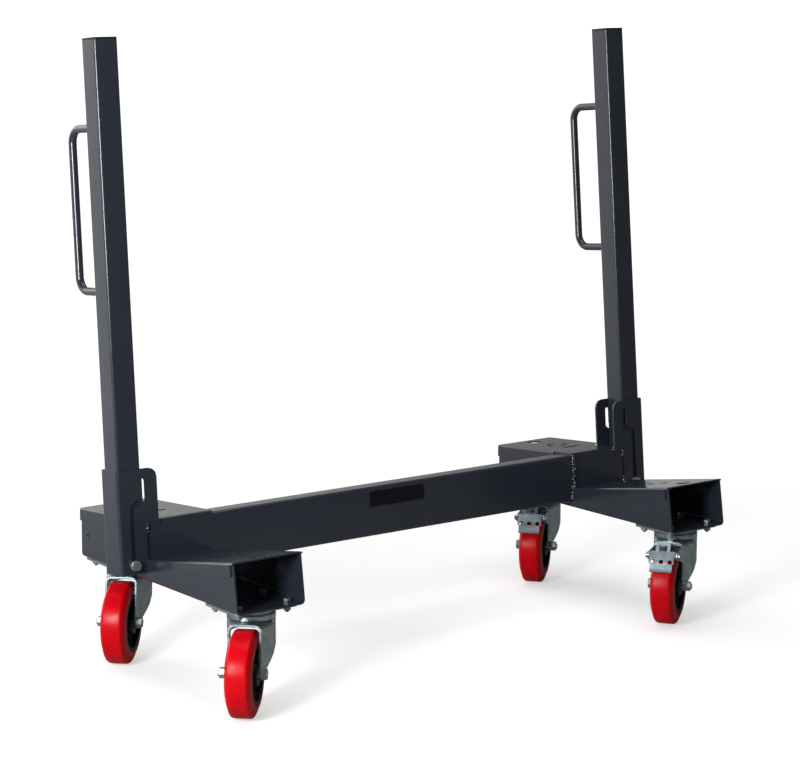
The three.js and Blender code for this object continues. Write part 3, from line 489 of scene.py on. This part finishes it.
def piece(name, mesh, body, place=None, replaces=()):
    made = bpy.data.objects.new(name, mesh)
    if place is not None:
        mesh.transform(place)
    scene.collection.objects.link(made)
    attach(made, body)
    if replaces:
        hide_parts(*replaces)
    return made


def rounded_profile(corners, steps):
    """Corners given as (radius, height, rounding) become a closed profile with arcs."""
    points = []
    count = len(corners)
    for i, (r, h, rounding) in enumerate(corners):
        corner = Vector((r, h))
        before = (Vector(corners[i - 1][:2]) - corner).normalized()
        after = (Vector(corners[(i + 1) % count][:2]) - corner).normalized()
        if rounding <= 0:
            points.append((r, h))
            continue
        half = before.angle(after) / 2
        trim = rounding / math.tan(half)
        middle = corner + (before + after).normalized() * rounding / math.sin(half)
        start, stop = corner + before * trim - middle, corner + after * trim - middle
        sweep = start.angle_signed(stop)
        for k in range(steps + 1):
            turned = start.copy()
            turned.rotate(Matrix.Rotation(-sweep * k / steps, 2))
            points.append(tuple(middle + turned))
    return points


def both_halves(corners):
    """The corners of one half, then the same ones mirrored and in reverse."""
    return corners + [(r, -h, rounding) for r, h, rounding in reversed(corners)]


print("helpers: spun, mesh_from, piece, rounded_profile, both_halves")

# %% [markdown]
# ## Geometry Nodes
# What repeats or follows a line is made by a node tree: ribs round a hub, beads along a seam, a bar along
# a bent line, bolt ends on their points. Each tree has named inputs, ends in Realize Instances and Set
# Material, and its result is turned into a plain mesh, because an export keeps no instances.

# %% Helpers for node trees
GEOMETRY, NUMBER, WHOLE, FINISH = (
    "NodeSocketGeometry", "NodeSocketFloat", "NodeSocketInt", "NodeSocketMaterial",
)


def new_tree(name, inputs):
    tree = bpy.data.node_groups.new(name, "GeometryNodeTree")
    sockets = {"tree": tree}
    for label, kind in [("Geometry", GEOMETRY), *inputs, ("Finish", FINISH)]:
        sockets[label] = tree.interface.new_socket(label, in_out="INPUT", socket_type=kind).identifier
    tree.interface.new_socket("Geometry", in_out="OUTPUT", socket_type=GEOMETRY)
    return tree, tree.nodes.new("NodeGroupInput").outputs, sockets


def add(tree, kind, links=(), values=(), **settings):
    node = tree.nodes.new(kind)
    for key, value in settings.items():
        setattr(node, key, value)
    for key, value in dict(values).items():
        node.inputs[key].default_value = value
    for key, source in dict(links).items():
        tree.links.new(source, node.inputs[key])
    return node


def end_tree(tree, geometry, finish, smooth=True):
    real = add(tree, "GeometryNodeRealizeInstances", {"Geometry": geometry})
    shaded = add(
        tree, "GeometryNodeSetShadeSmooth", {"Geometry": real.outputs["Geometry"]}, {"Shade Smooth": smooth}
    )
    painted = add(
        tree, "GeometryNodeSetMaterial", {"Geometry": shaded.outputs["Geometry"], "Material": finish}
    )
    add(tree, "NodeGroupOutput", {"Geometry": painted.outputs["Geometry"]})


def grown(name, sockets, base, values):
    """Runs a tree on a mesh of points and edges, and returns the result as a plain mesh."""
    carrier = bpy.data.objects.new(name, base)
    scene.collection.objects.link(carrier)
    modifier = carrier.modifiers.new("grow", "NODES")
    modifier.node_group = sockets["tree"]
    for label, value in values.items():
        modifier[sockets[label]] = value
    graph = bpy.context.evaluated_depsgraph_get()
    mesh = bpy.data.meshes.new_from_object(carrier.evaluated_get(graph))
    bpy.data.objects.remove(carrier)
    mesh.name = name
    return mesh


def lines_mesh(name, lines):
    points, edges = [], []
    for line in lines:
        first = len(points)
        points += [tuple(point) for point in line]
        edges += [(first + i, first + i + 1) for i in range(len(line) - 1)]
    mesh = bpy.data.meshes.new(name)
    mesh.from_pydata(points, edges, [])
    return mesh


print("helpers: new_tree, add, end_tree, grown, lines_mesh")

# %% [markdown]
# ## Wheels
# The tyre is a turned ring: a flat tread, bevelled shoulders with soft corners, and side walls that end
# on the core. The core is turned too, with a hub, a web and ribs. The ribs repeat round the hub, so a node
# tree sets one rib on each of a row of points and turns it by its number.

# %% The rib tree
tree, given, rib_sockets = new_tree(
    "core_ribs",
    [("Count", WHOLE), ("Inside", NUMBER), ("Outside", NUMBER), ("Thickness", NUMBER), ("Width", NUMBER)],
)
length = add(tree, "ShaderNodeMath", {0: given["Outside"], 1: given["Inside"]}, operation="SUBTRACT")
total = add(tree, "ShaderNodeMath", {0: given["Outside"], 1: given["Inside"]}, operation="ADD")
middle = add(tree, "ShaderNodeMath", {0: total.outputs[0]}, {1: 0.5}, operation="MULTIPLY")
size = add(
    tree, "ShaderNodeCombineXYZ", {"X": length.outputs[0], "Y": given["Thickness"], "Z": given["Width"]}
)
slab = add(tree, "GeometryNodeMeshCube", {"Size": size.outputs["Vector"]})
shift = add(tree, "ShaderNodeCombineXYZ", {"X": middle.outputs[0]})
rib = add(
    tree, "GeometryNodeTransform",
    {"Geometry": slab.outputs["Mesh"], "Translation": shift.outputs["Vector"]},
)
row = add(tree, "GeometryNodeMeshLine", {"Count": given["Count"]}, {"Offset": (0, 0, 0)})
number = add(tree, "GeometryNodeInputIndex")
share = add(tree, "ShaderNodeMath", {0: number.outputs[0], 1: given["Count"]}, operation="DIVIDE")
angle = add(tree, "ShaderNodeMath", {0: share.outputs[0]}, {1: math.tau}, operation="MULTIPLY")
turn = add(tree, "ShaderNodeCombineXYZ", {"Z": angle.outputs[0]})
spokes = add(
    tree, "GeometryNodeInstanceOnPoints",
    {
        "Points": row.outputs["Mesh"], "Instance": rib.outputs["Geometry"],
        "Rotation": turn.outputs["Vector"],
    },
)
end_tree(tree, spokes.outputs["Instances"], given["Finish"], smooth=False)
print("tree:", tree.name)

# %% Tyre and core, once
WHEEL_RADIUS, TYRE_HALF, TREAD_HALF, SHOULDER = 0.08, 0.025, 0.0185, 0.016
WALL_ROUND, TREAD_ROUND = 0.003, 0.006
TYRE_INSIDE, TYRE_PLAY, RIM_DEPTH, WEB_HALF = 0.058, 0.0002, 0.009, 0.005
HUB_RADIUS, HUB_HALF, HUB_BORE = 0.022, 0.026, 0.0104
HUB_DRAFT, RIM_DRAFT = 0.002, 0.001  # moulded walls lean by this much
BORE_ROUND, HUB_ROUND, WEB_ROUND, RIM_ROUND, SEAT_ROUND = 0.0008, 0.0015, 0.002, 0.001, 0.0006
RIB_COUNT, RIB_THICK, RIB_HALF, RIB_EDGE = 8, 0.004, 0.019, 0.0008
RIB_IN_HUB, RIB_IN_RIM = 0.002, 0.003
TYRE_STEPS, CORE_STEPS = 128, 72

tyre_profile = rounded_profile(both_halves([
    (TYRE_INSIDE, -TYRE_HALF, 0.0),
    (WHEEL_RADIUS - SHOULDER, -TYRE_HALF, WALL_ROUND),
    (WHEEL_RADIUS, -TREAD_HALF, TREAD_ROUND),
]), steps=5)
rim_in, rim_out = TYRE_INSIDE - RIM_DEPTH, TYRE_INSIDE - TYRE_PLAY
core_profile = rounded_profile(both_halves([
    (HUB_BORE, -HUB_HALF, BORE_ROUND),
    (HUB_RADIUS, -HUB_HALF, HUB_ROUND),
    (HUB_RADIUS + HUB_DRAFT, -WEB_HALF, WEB_ROUND),
    (rim_in - RIM_DRAFT, -WEB_HALF, WEB_ROUND),
    (rim_in, -TYRE_HALF, RIM_ROUND),
    (rim_out, -TYRE_HALF, SEAT_ROUND),
]), steps=3)
tyre_mesh = mesh_from("tyre", spun(tyre_profile, TYRE_STEPS), red)
core_mesh = mesh_from("wheel_core", spun(core_profile, CORE_STEPS), core_black)
rib_mesh = grown("ribs", rib_sockets, lines_mesh("rib_start", [[(0, 0, 0)]]), {
    "Count": RIB_COUNT, "Inside": HUB_RADIUS - RIB_IN_HUB, "Outside": rim_in + RIB_IN_RIM,
    "Thickness": RIB_THICK, "Width": 2 * RIB_HALF, "Finish": core_black,
})
print("wheel meshes:", len(tyre_mesh.polygons), len(core_mesh.polygons), len(rib_mesh.polygons), "faces")

# %% Four wheels on their axles
BRAKED = ("front_right", "rear_right")
CORNERS = ("front_left", "rear_left", *BRAKED)


def axle_frame(corner):
    roll = joints[corner + "_roll"]
    along = Vector(roll["axis"]).normalized()
    turn = Vector((0, 0, 1)).rotation_difference(along).to_matrix().to_4x4()
    return Matrix.Translation(roll["pos_m"]) @ turn


for corner in CORNERS:
    place, body = axle_frame(corner), corner + "_wheel"
    piece(corner + "_red_tyre", tyre_mesh.copy(), body, place, [corner + "_tyre"])
    piece(corner + "_core", core_mesh.copy(), body, place, [corner + "_wheel_core"])
    ribs = piece(corner + "_core_ribs", rib_mesh.copy(), body, place)
    bevel = ribs.modifiers.new("soft_edge", "BEVEL")
    bevel.width = RIB_EDGE
    bevel.segments = EDGE_SEGMENTS
print("wheels:", len(CORNERS))

# %% [markdown]
# ## Swivel heads
# Between plate and fork sits the swivel head: a pressed ring as wide as the fork's round crown, with a
# narrower collar above it. It is a turned piece with soft corners, so it replaces the faceted CAD ring.
# Its heights come from the CAD ring's own box.

# %% Swivel heads
RING_BORE, RING_RADIUS, COLLAR_RADIUS = 0.0086, 0.045, 0.042
RING_FOOT_ROUND, RING_TOP_ROUND, NECK_ROUND, COLLAR_ROUND = 0.0012, 0.002, 0.001, 0.0008
HEAD_STEPS = 96

race_low, race_high = (corner.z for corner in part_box("front_left_swivel_race"))
ring_top = (race_low + race_high) / 2
head_profile = rounded_profile([
    (RING_BORE, race_low, 0.0),
    (RING_RADIUS, race_low, RING_FOOT_ROUND),
    (RING_RADIUS, ring_top, RING_TOP_ROUND),
    (COLLAR_RADIUS, ring_top + RING_RADIUS - COLLAR_RADIUS, NECK_ROUND),
    (COLLAR_RADIUS, race_high, COLLAR_ROUND),
    (RING_BORE, race_high, 0.0),
], steps=4)
head_mesh = mesh_from("swivel_head", spun(head_profile, HEAD_STEPS), zinc)
for corner in CORNERS:
    x, y, _ = joints[corner + "_swivel"]["pos_m"]
    place = Matrix.Translation((x, y, 0))
    race = corner + "_swivel_race"
    piece(corner + "_swivel_head", head_mesh.copy(), corner + "_swivel", place, [race])
print("swivel heads:", len(CORNERS))

# %% [markdown]
# ## Brake leaves
# On the two braked castors a thin steel leaf lies over the tread, behind the pedal, and fills the space
# between the fork's legs. It is a strip bent round the axle: a row of cross lines turned about it, given
# its thickness by Solidify.

# %% Brake leaves
LEAF_RADIUS, LEAF_HALF, LEAF_THICK = 0.0838, 0.027, 0.0015
LEAF_LOW, LEAF_HIGH = 60.0, 91.0  # in degrees up from the rear
LEAF_STEPS = 12


def leaf_strip(axle, across, behind):
    leaf = bmesh.new()
    lines = []
    for k in range(LEAF_STEPS + 1):
        angle = math.radians(LEAF_LOW + (LEAF_HIGH - LEAF_LOW) * k / LEAF_STEPS)
        spot = axle + LEAF_RADIUS * (behind * math.cos(angle) + Vector((0, 0, math.sin(angle))))
        lines.append([leaf.verts.new(spot + across * side) for side in (-LEAF_HALF, LEAF_HALF)])
    for (a, b), (c, d) in zip(lines, lines[1:]):
        face = leaf.faces.new((a, b, d, c))
        face.normal_update()
        if face.normal.dot(face.calc_center_median() - axle) < 0:
            face.normal_flip()
    return leaf


for corner in BRAKED:
    roll, swivel = joints[corner + "_roll"], joints[corner + "_swivel"]
    axle = Vector(roll["pos_m"])
    behind = axle - Vector(swivel["pos_m"])
    behind.z = 0
    strip = leaf_strip(axle, Vector(roll["axis"]).normalized(), behind.normalized())
    made = piece(corner + "_brake_leaf", mesh_from("brake_leaf", strip, zinc), corner + "_swivel")
    solidify = made.modifiers.new("thickness", "SOLIDIFY")
    solidify.thickness = LEAF_THICK
    solidify.offset = -1.0
print("brake leaves:", len(BRAKED))

# %% [markdown]
# ## The leaning tower
# Beam, brackets and uprights lean back together. Places on them are given as x along the beam, v to the
# rear off the step face and s up along the lean, all from the beam's top front edge.

# %% Places on the tower
LEAN = math.radians(4.5)
FOOT_REAR, FACE_SETBACK, BEAM_RISE = 0.275, 0.03, 0.114
foot_low, foot_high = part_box("left_foot")
TOWER_ORIGIN = Vector((0, foot_high.y - FOOT_REAR + FACE_SETBACK, foot_low.z + BEAM_RISE))
REARWARD = Vector((0, math.cos(LEAN), -math.sin(LEAN)))
UPWARD = Vector((0, math.sin(LEAN), math.cos(LEAN)))
SIDES = {"left": -1, "right": 1}


def tower(x, v, s):
    return TOWER_ORIGIN + Vector((x, 0, 0)) + REARWARD * v + UPWARD * s


print("tower origin:", [round(value, 4) for value in TOWER_ORIGIN])

# %% [markdown]
# ## Handles
# Each handle is a round bar bent twice and welded to the tube. The node tree rounds the corners of a
# straight-sided line and sweeps a circle along it, which is how a bender sees the job too.

# %% The bar tree
BEND_STEPS, BAR_SIDES = 12, 28

tree, given, bar_sockets = new_tree("bent_bar", [("Radius", NUMBER), ("Bend", NUMBER)])
line = add(tree, "GeometryNodeMeshToCurve", {"Mesh": given["Geometry"]})
bent = add(
    tree, "GeometryNodeFilletCurve", {"Curve": line.outputs["Curve"], "Radius": given["Bend"]},
    {"Count": BEND_STEPS}, mode="POLY",
)
section = add(
    tree, "GeometryNodeCurvePrimitiveCircle", {"Radius": given["Radius"]}, {"Resolution": BAR_SIDES}
)
swept = add(
    tree, "GeometryNodeCurveToMesh",
    {"Curve": bent.outputs["Curve"], "Profile Curve": section.outputs["Curve"]}, {"Fill Caps": True},
)
end_tree(tree, swept.outputs["Mesh"], given["Finish"])
print("tree:", tree.name)

# %% Handles
UPRIGHT_X, UPRIGHT_REAR = 0.6333, 0.051
HANDLE_LOW, HANDLE_HIGH, HANDLE_BAR = 0.436, 0.746, 0.149
HANDLE_RADIUS, HANDLE_BEND, HANDLE_SINK = 0.008, 0.028, 0.0005
END_ANGLE = math.radians(60)

for side, sign in SIDES.items():
    x = sign * UPRIGHT_X
    ends = UPRIGHT_REAR - HANDLE_SINK
    route = [
        tower(x, ends, HANDLE_LOW), tower(x, HANDLE_BAR, HANDLE_LOW),
        tower(x, HANDLE_BAR, HANDLE_HIGH), tower(x, ends, HANDLE_HIGH),
    ]
    bar = grown(side + "_bar", bar_sockets, lines_mesh(side + "_route", [route]), {
        "Radius": HANDLE_RADIUS, "Bend": HANDLE_BEND, "Finish": coat,
    })
    bar.set_sharp_from_angle(angle=END_ANGLE)
    piece(side + "_bent_handle", bar, side + "_upright", replaces=[side + "_handle"])
print("handles:", len(SIDES))

# %% [markdown]
# ## Weld beads
# A bead is a row of overlapping puddles. The tree walks along each seam in small even steps and drops a
# ball there, a little aside and a little larger or smaller by chance with fixed seeds. The paint lies over
# it all, thin and glossy, so every puddle has its own point of light.

# %% The bead tree
SEED_GAP = 50.0
BEAD_STRAY = Vector((1, 0.2, 1))  # shares of the spread
BEAD_SMALL, BEAD_LARGE = (0.7, 0.7, 0.6), (1.2, 1.2, 1.1)  # shares of the width
BALL = {"Radius": 0.5, "Segments": 8, "Rings": 5}

tree, given, bead_sockets = new_tree(
    "weld_bead", [("Width", NUMBER), ("Step", NUMBER), ("Spread", NUMBER), ("Seed", WHOLE)]
)
line = add(tree, "GeometryNodeMeshToCurve", {"Mesh": given["Geometry"]})
steps = add(
    tree, "GeometryNodeCurveToPoints", {"Curve": line.outputs["Curve"], "Length": given["Step"]},
    mode="LENGTH",
)
other_seed = add(tree, "ShaderNodeMath", {0: given["Seed"]}, {1: SEED_GAP}, operation="ADD")
stray = add(
    tree, "FunctionNodeRandomValue", {"Seed": other_seed.outputs[0]},
    {"Min": -BEAD_STRAY, "Max": BEAD_STRAY}, data_type="FLOAT_VECTOR",
)
offset = add(
    tree, "ShaderNodeVectorMath", {0: stray.outputs["Value"], "Scale": given["Spread"]}, operation="SCALE"
)
strewn = add(
    tree, "GeometryNodeSetPosition",
    {"Geometry": steps.outputs["Points"], "Offset": offset.outputs["Vector"]},
)
ball = add(tree, "GeometryNodeMeshUVSphere", (), BALL)
shape = add(
    tree, "ShaderNodeCombineXYZ", {"X": given["Width"], "Y": given["Width"], "Z": given["Width"]}
)
chance = add(
    tree, "FunctionNodeRandomValue", {"Seed": given["Seed"]},
    {"Min": BEAD_SMALL, "Max": BEAD_LARGE}, data_type="FLOAT_VECTOR",
)
grains = add(
    tree, "ShaderNodeVectorMath", {0: shape.outputs["Vector"], 1: chance.outputs["Value"]},
    operation="MULTIPLY",
)
puddles = add(
    tree, "GeometryNodeInstanceOnPoints",
    {
        "Points": strewn.outputs["Geometry"], "Instance": ball.outputs["Mesh"],
        "Rotation": steps.outputs["Rotation"], "Scale": grains.outputs["Vector"],
    },
)
end_tree(tree, puddles.outputs["Instances"], given["Finish"])
print("tree:", tree.name)

# %% [markdown]
# ### Seams on the chassis
# Five seams show on each side: the beam's end at the rear, two tacks down the bracket's front, one at the
# tip of its wing and one behind the wing. On the right the beam's end is also welded in front, in two runs
# on the foot's side of the seam. The left one shows no bead.

# %% Seams on the chassis
BEAM_END, BEAM_HEIGHT, BEAM_DEPTH = 0.4559, 0.1, 0.05
BRACKET_SIDE, WING_TIP = 0.6043, 0.5773
REAR_TOP, SEAM_LOW = -0.02, -BEAM_HEIGHT + 0.006
TACK_FACE, TACK_RUNS = -0.0008, ((-0.004, -0.018), (-0.064, -0.073))
TIP_FACE, TIP_HEIGHT, TIP_LENGTH = -0.001, -0.001, 0.006
WING_REAR, WING_HEIGHT = 0.0555, 0.0045
FRONT_FACE = -0.0005
# A run's ends are given as the way past the beam's end and the height.
FRONT_RUNS = (((0.005, -0.003), (0.005, -0.064)), ((0.002, -0.068), (0.001, SEAM_LOW)))


def seam_lines(sign):
    end, side, tip = sign * BEAM_END, sign * BRACKET_SIDE, sign * WING_TIP
    lines = [[tower(end, BEAM_DEPTH, REAR_TOP), tower(end, BEAM_DEPTH, SEAM_LOW)]]
    for run in TACK_RUNS:
        lines.append([tower(side, TACK_FACE, height) for height in run])
    lines.append([tower(x, TIP_FACE, TIP_HEIGHT) for x in (tip, tip + sign * TIP_LENGTH)])
    lines.append([tower(x, WING_REAR, WING_HEIGHT) for x in (tip, side)])
    if sign > 0:
        for run in FRONT_RUNS:
            lines.append([tower(end + past, FRONT_FACE, height) for past, height in run])
    return lines


print("seams:", {side: len(seam_lines(sign)) for side, sign in SIDES.items()})

# %% Seams round the handles' ends
COLLAR_GAP, COLLAR_LIFT, COLLAR_STEPS = 0.0008, 0.001, 24


def collar_line(x, height):
    radius = HANDLE_RADIUS + COLLAR_GAP
    turns = [math.tau * k / COLLAR_STEPS for k in range(COLLAR_STEPS + 1)]
    return [
        tower(x + radius * math.cos(a), UPRIGHT_REAR + COLLAR_LIFT, height + radius * math.sin(a))
        for a in turns
    ]


def collar_lines(sign):
    return [collar_line(sign * UPRIGHT_X, height) for height in (HANDLE_LOW, HANDLE_HIGH)]


print("collars:", {side: len(collar_lines(sign)) for side, sign in SIDES.items()})

# %% Beads on every seam
SEAM_BEAD, SEAM_SEED = {"Width": 0.007, "Step": 0.0017, "Spread": 0.0036}, 3
COLLAR_BEAD, COLLAR_SEED = {"Width": 0.0042, "Step": 0.0022, "Spread": 0.0005}, 11

for side, sign in SIDES.items():
    seams = lines_mesh(side + "_seams", seam_lines(sign))
    beads = grown(side + "_beads", bead_sockets, seams, {
        **SEAM_BEAD, "Seed": SEAM_SEED + sign, "Finish": coat_on_weld,
    })
    piece(side + "_weld_beads", beads, "chassis")
    rings = lines_mesh(side + "_rings", collar_lines(sign))
    collars = grown(side + "_collars", bead_sockets, rings, {
        **COLLAR_BEAD, "Seed": COLLAR_SEED + sign, "Finish": coat_on_weld,
    })
    piece(side + "_handle_welds", collars, side + "_upright")
    print(side, "beads:", len(beads.polygons) + len(collars.polygons), "faces")

# %% [markdown]
# ## Bolt ends
# Each castor plate hangs on its bolts, and a short threaded end shows below each nut. One end is a stack
# of thread rings with a domed tip. The tree sets a copy on every point.

# %% The bolt end tree
THREAD_ROOT, THREAD_SIDES = 0.87, 20  # the root is a share of the radius
DOME_RINGS, DOME_FLATNESS = 10, 0.55

tree, given, tip_sockets = new_tree("bolt_ends", [("Radius", NUMBER), ("Pitch", NUMBER), ("Turns", WHOLE)])
inner = add(tree, "ShaderNodeMath", {0: given["Radius"]}, {1: THREAD_ROOT}, operation="MULTIPLY")
crest = add(
    tree, "GeometryNodeMeshCone",
    {"Radius Top": given["Radius"], "Radius Bottom": inner.outputs[0], "Depth": given["Pitch"]},
    {"Vertices": THREAD_SIDES},
)
drop = add(tree, "ShaderNodeMath", {0: given["Pitch"]}, {1: -1.0}, operation="MULTIPLY")
fall = add(tree, "ShaderNodeCombineXYZ", {"Z": drop.outputs[0]})
column = add(tree, "GeometryNodeMeshLine", {"Count": given["Turns"], "Offset": fall.outputs["Vector"]})
sunk = add(
    tree, "GeometryNodeTransform",
    {"Geometry": column.outputs["Mesh"], "Translation": fall.outputs["Vector"]},
)
thread = add(
    tree, "GeometryNodeInstanceOnPoints",
    {"Points": sunk.outputs["Geometry"], "Instance": crest.outputs["Mesh"]},
)
dome = add(
    tree, "GeometryNodeMeshUVSphere", {"Radius": inner.outputs[0]},
    {"Segments": THREAD_SIDES, "Rings": DOME_RINGS},
)
deep = add(tree, "ShaderNodeMath", {0: drop.outputs[0], 1: given["Turns"]}, operation="MULTIPLY")
low = add(tree, "ShaderNodeCombineXYZ", {"Z": deep.outputs[0]})
cap = add(
    tree, "GeometryNodeTransform", {"Geometry": dome.outputs["Mesh"], "Translation": low.outputs["Vector"]},
    {"Scale": (1, 1, DOME_FLATNESS)},
)
tip = add(tree, "GeometryNodeJoinGeometry")
for source in (cap.outputs["Geometry"], thread.outputs["Instances"]):
    tree.links.new(source, tip.inputs["Geometry"])
ends = add(
    tree, "GeometryNodeInstanceOnPoints", {"Points": given["Geometry"], "Instance": tip.outputs["Geometry"]}
)
end_tree(tree, ends.outputs["Instances"], given["Finish"])
print("tree:", tree.name)

# %% Bolt ends
BOLTS_ACROSS, BOLTS_ALONG = 0.105, 0.078
THREAD_RADIUS, THREAD_PITCH, THREAD_TURNS = 0.004, 0.0012, 2
THREAD_ANGLE = math.radians(40)

nut_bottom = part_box("front_left_castor_plate")[0].z
spots = []
for corner in CORNERS:
    x, y, _ = joints[corner + "_swivel"]["pos_m"]
    for across in (-0.5, 0.5):
        for along in (-0.5, 0.5):
            spots.append((x + across * BOLTS_ACROSS, y + along * BOLTS_ALONG, nut_bottom))
tips = grown("tips", tip_sockets, lines_mesh("tip_spots", [[spot] for spot in spots]), {
    "Radius": THREAD_RADIUS, "Pitch": THREAD_PITCH, "Turns": THREAD_TURNS, "Finish": zinc_bolt,
})
tips.set_sharp_from_angle(angle=THREAD_ANGLE)
piece("plate_bolt_ends", tips, "chassis")
print("bolt ends:", len(spots))

# %% [markdown]
# ## Rivet nuts
# Each foot has a small hole in both walls near its rear end. A rivet nut sits in it: a thin flange outside,
# a barrel with a bulge inside. One is turned from its profile, and a copy goes into every hole.

# %% Rivet nuts
TIE_INSET, TIE_HEIGHT = 0.024, 0.048
NUT_BORE, NUT_BARREL, NUT_BULGE, NUT_FLANGE = 0.0023, 0.0037, 0.0052, 0.0056
BARREL_END, BULGE_DEEP, BULGE_NEAR = -0.012, (-0.008, -0.0065), (-0.0045, -0.0036)
FLANGE_SEAT, FLANGE_FACE = 0.0001, 0.0009
BARREL_ROUND, BULGE_ROUND, FLANGE_ROUND, MOUTH_ROUND = 0.0004, 0.0006, 0.0004, 0.0003
RIVET_STEPS = 24

rivet_profile = rounded_profile([
    (NUT_BORE, BARREL_END, 0.0), (NUT_BARREL, BARREL_END, BARREL_ROUND),
    (NUT_BARREL, BULGE_DEEP[0], 0.0), (NUT_BULGE, BULGE_DEEP[1], BULGE_ROUND),
    (NUT_BULGE, BULGE_NEAR[0], BULGE_ROUND), (NUT_BARREL, BULGE_NEAR[1], 0.0),
    (NUT_BARREL, FLANGE_SEAT, 0.0), (NUT_FLANGE, FLANGE_SEAT, 0.0),
    (NUT_FLANGE, FLANGE_FACE, FLANGE_ROUND), (NUT_BORE, FLANGE_FACE, MOUTH_ROUND),
], steps=3)
rivets = bmesh.new()
for side in SIDES:
    low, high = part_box(side + "_foot")
    for wall, outward in ((low.x, -1), (high.x, 1)):
        nut = mesh_from("rivet_nut", spun(rivet_profile, RIVET_STEPS), coat)
        turn = Matrix.Rotation(outward * math.pi / 2, 4, "Y")
        nut.transform(Matrix.Translation((wall, high.y - TIE_INSET, low.z + TIE_HEIGHT)) @ turn)
        rivets.from_mesh(nut)
piece("foot_rivet_nuts", mesh_from("foot_rivet_nuts", rivets, coat), "chassis")
print("rivet nuts:", 2 * len(SIDES))

# %% [markdown]
# ## Label plate
# A thin dark plate sits on the front of the beam. It stays bare. It is a rounded slab with a soft edge.

# %% Label plate
LABEL_X, LABEL_HEIGHT, LABEL_SIZE = -0.0135, -0.0248, (0.137, 0.031)
LABEL_THICK, LABEL_SINK, LABEL_EDGE = 0.0008, 0.0001, 0.0003
LABEL_CORNER, LABEL_STEPS = 0.0025, 4


def label_outline():
    half_width, half_height = (side / 2 - LABEL_CORNER for side in LABEL_SIZE)
    outline = []
    for quarter, (right, up) in enumerate([(1, 1), (-1, 1), (-1, -1), (1, -1)]):
        for k in range(LABEL_STEPS + 1):
            turn = math.pi / 2 * (quarter + k / LABEL_STEPS)
            across = right * half_width + LABEL_CORNER * math.cos(turn)
            above = up * half_height + LABEL_CORNER * math.sin(turn)
            outline.append((LABEL_X + across, LABEL_HEIGHT + above))
    return outline


plate = bmesh.new()
front = [plate.verts.new(tower(x, -LABEL_THICK, s)) for x, s in label_outline()]
back = [plate.verts.new(tower(x, LABEL_SINK, s)) for x, s in label_outline()]
plate.faces.new(front)
plate.faces.new(back[::-1])
for i in range(len(front)):
    j = (i + 1) % len(front)
    plate.faces.new((front[i], back[i], back[j], front[j]))
bmesh.ops.recalc_face_normals(plate, faces=plate.faces)
label = piece("label_plate", mesh_from("label_plate", plate, label_black), "chassis")
bevel = label.modifiers.new("soft_edge", "BEVEL")
bevel.width = LABEL_EDGE
bevel.segments = EDGE_SEGMENTS
bevel.limit_method = "ANGLE"
print("label plate: bare")
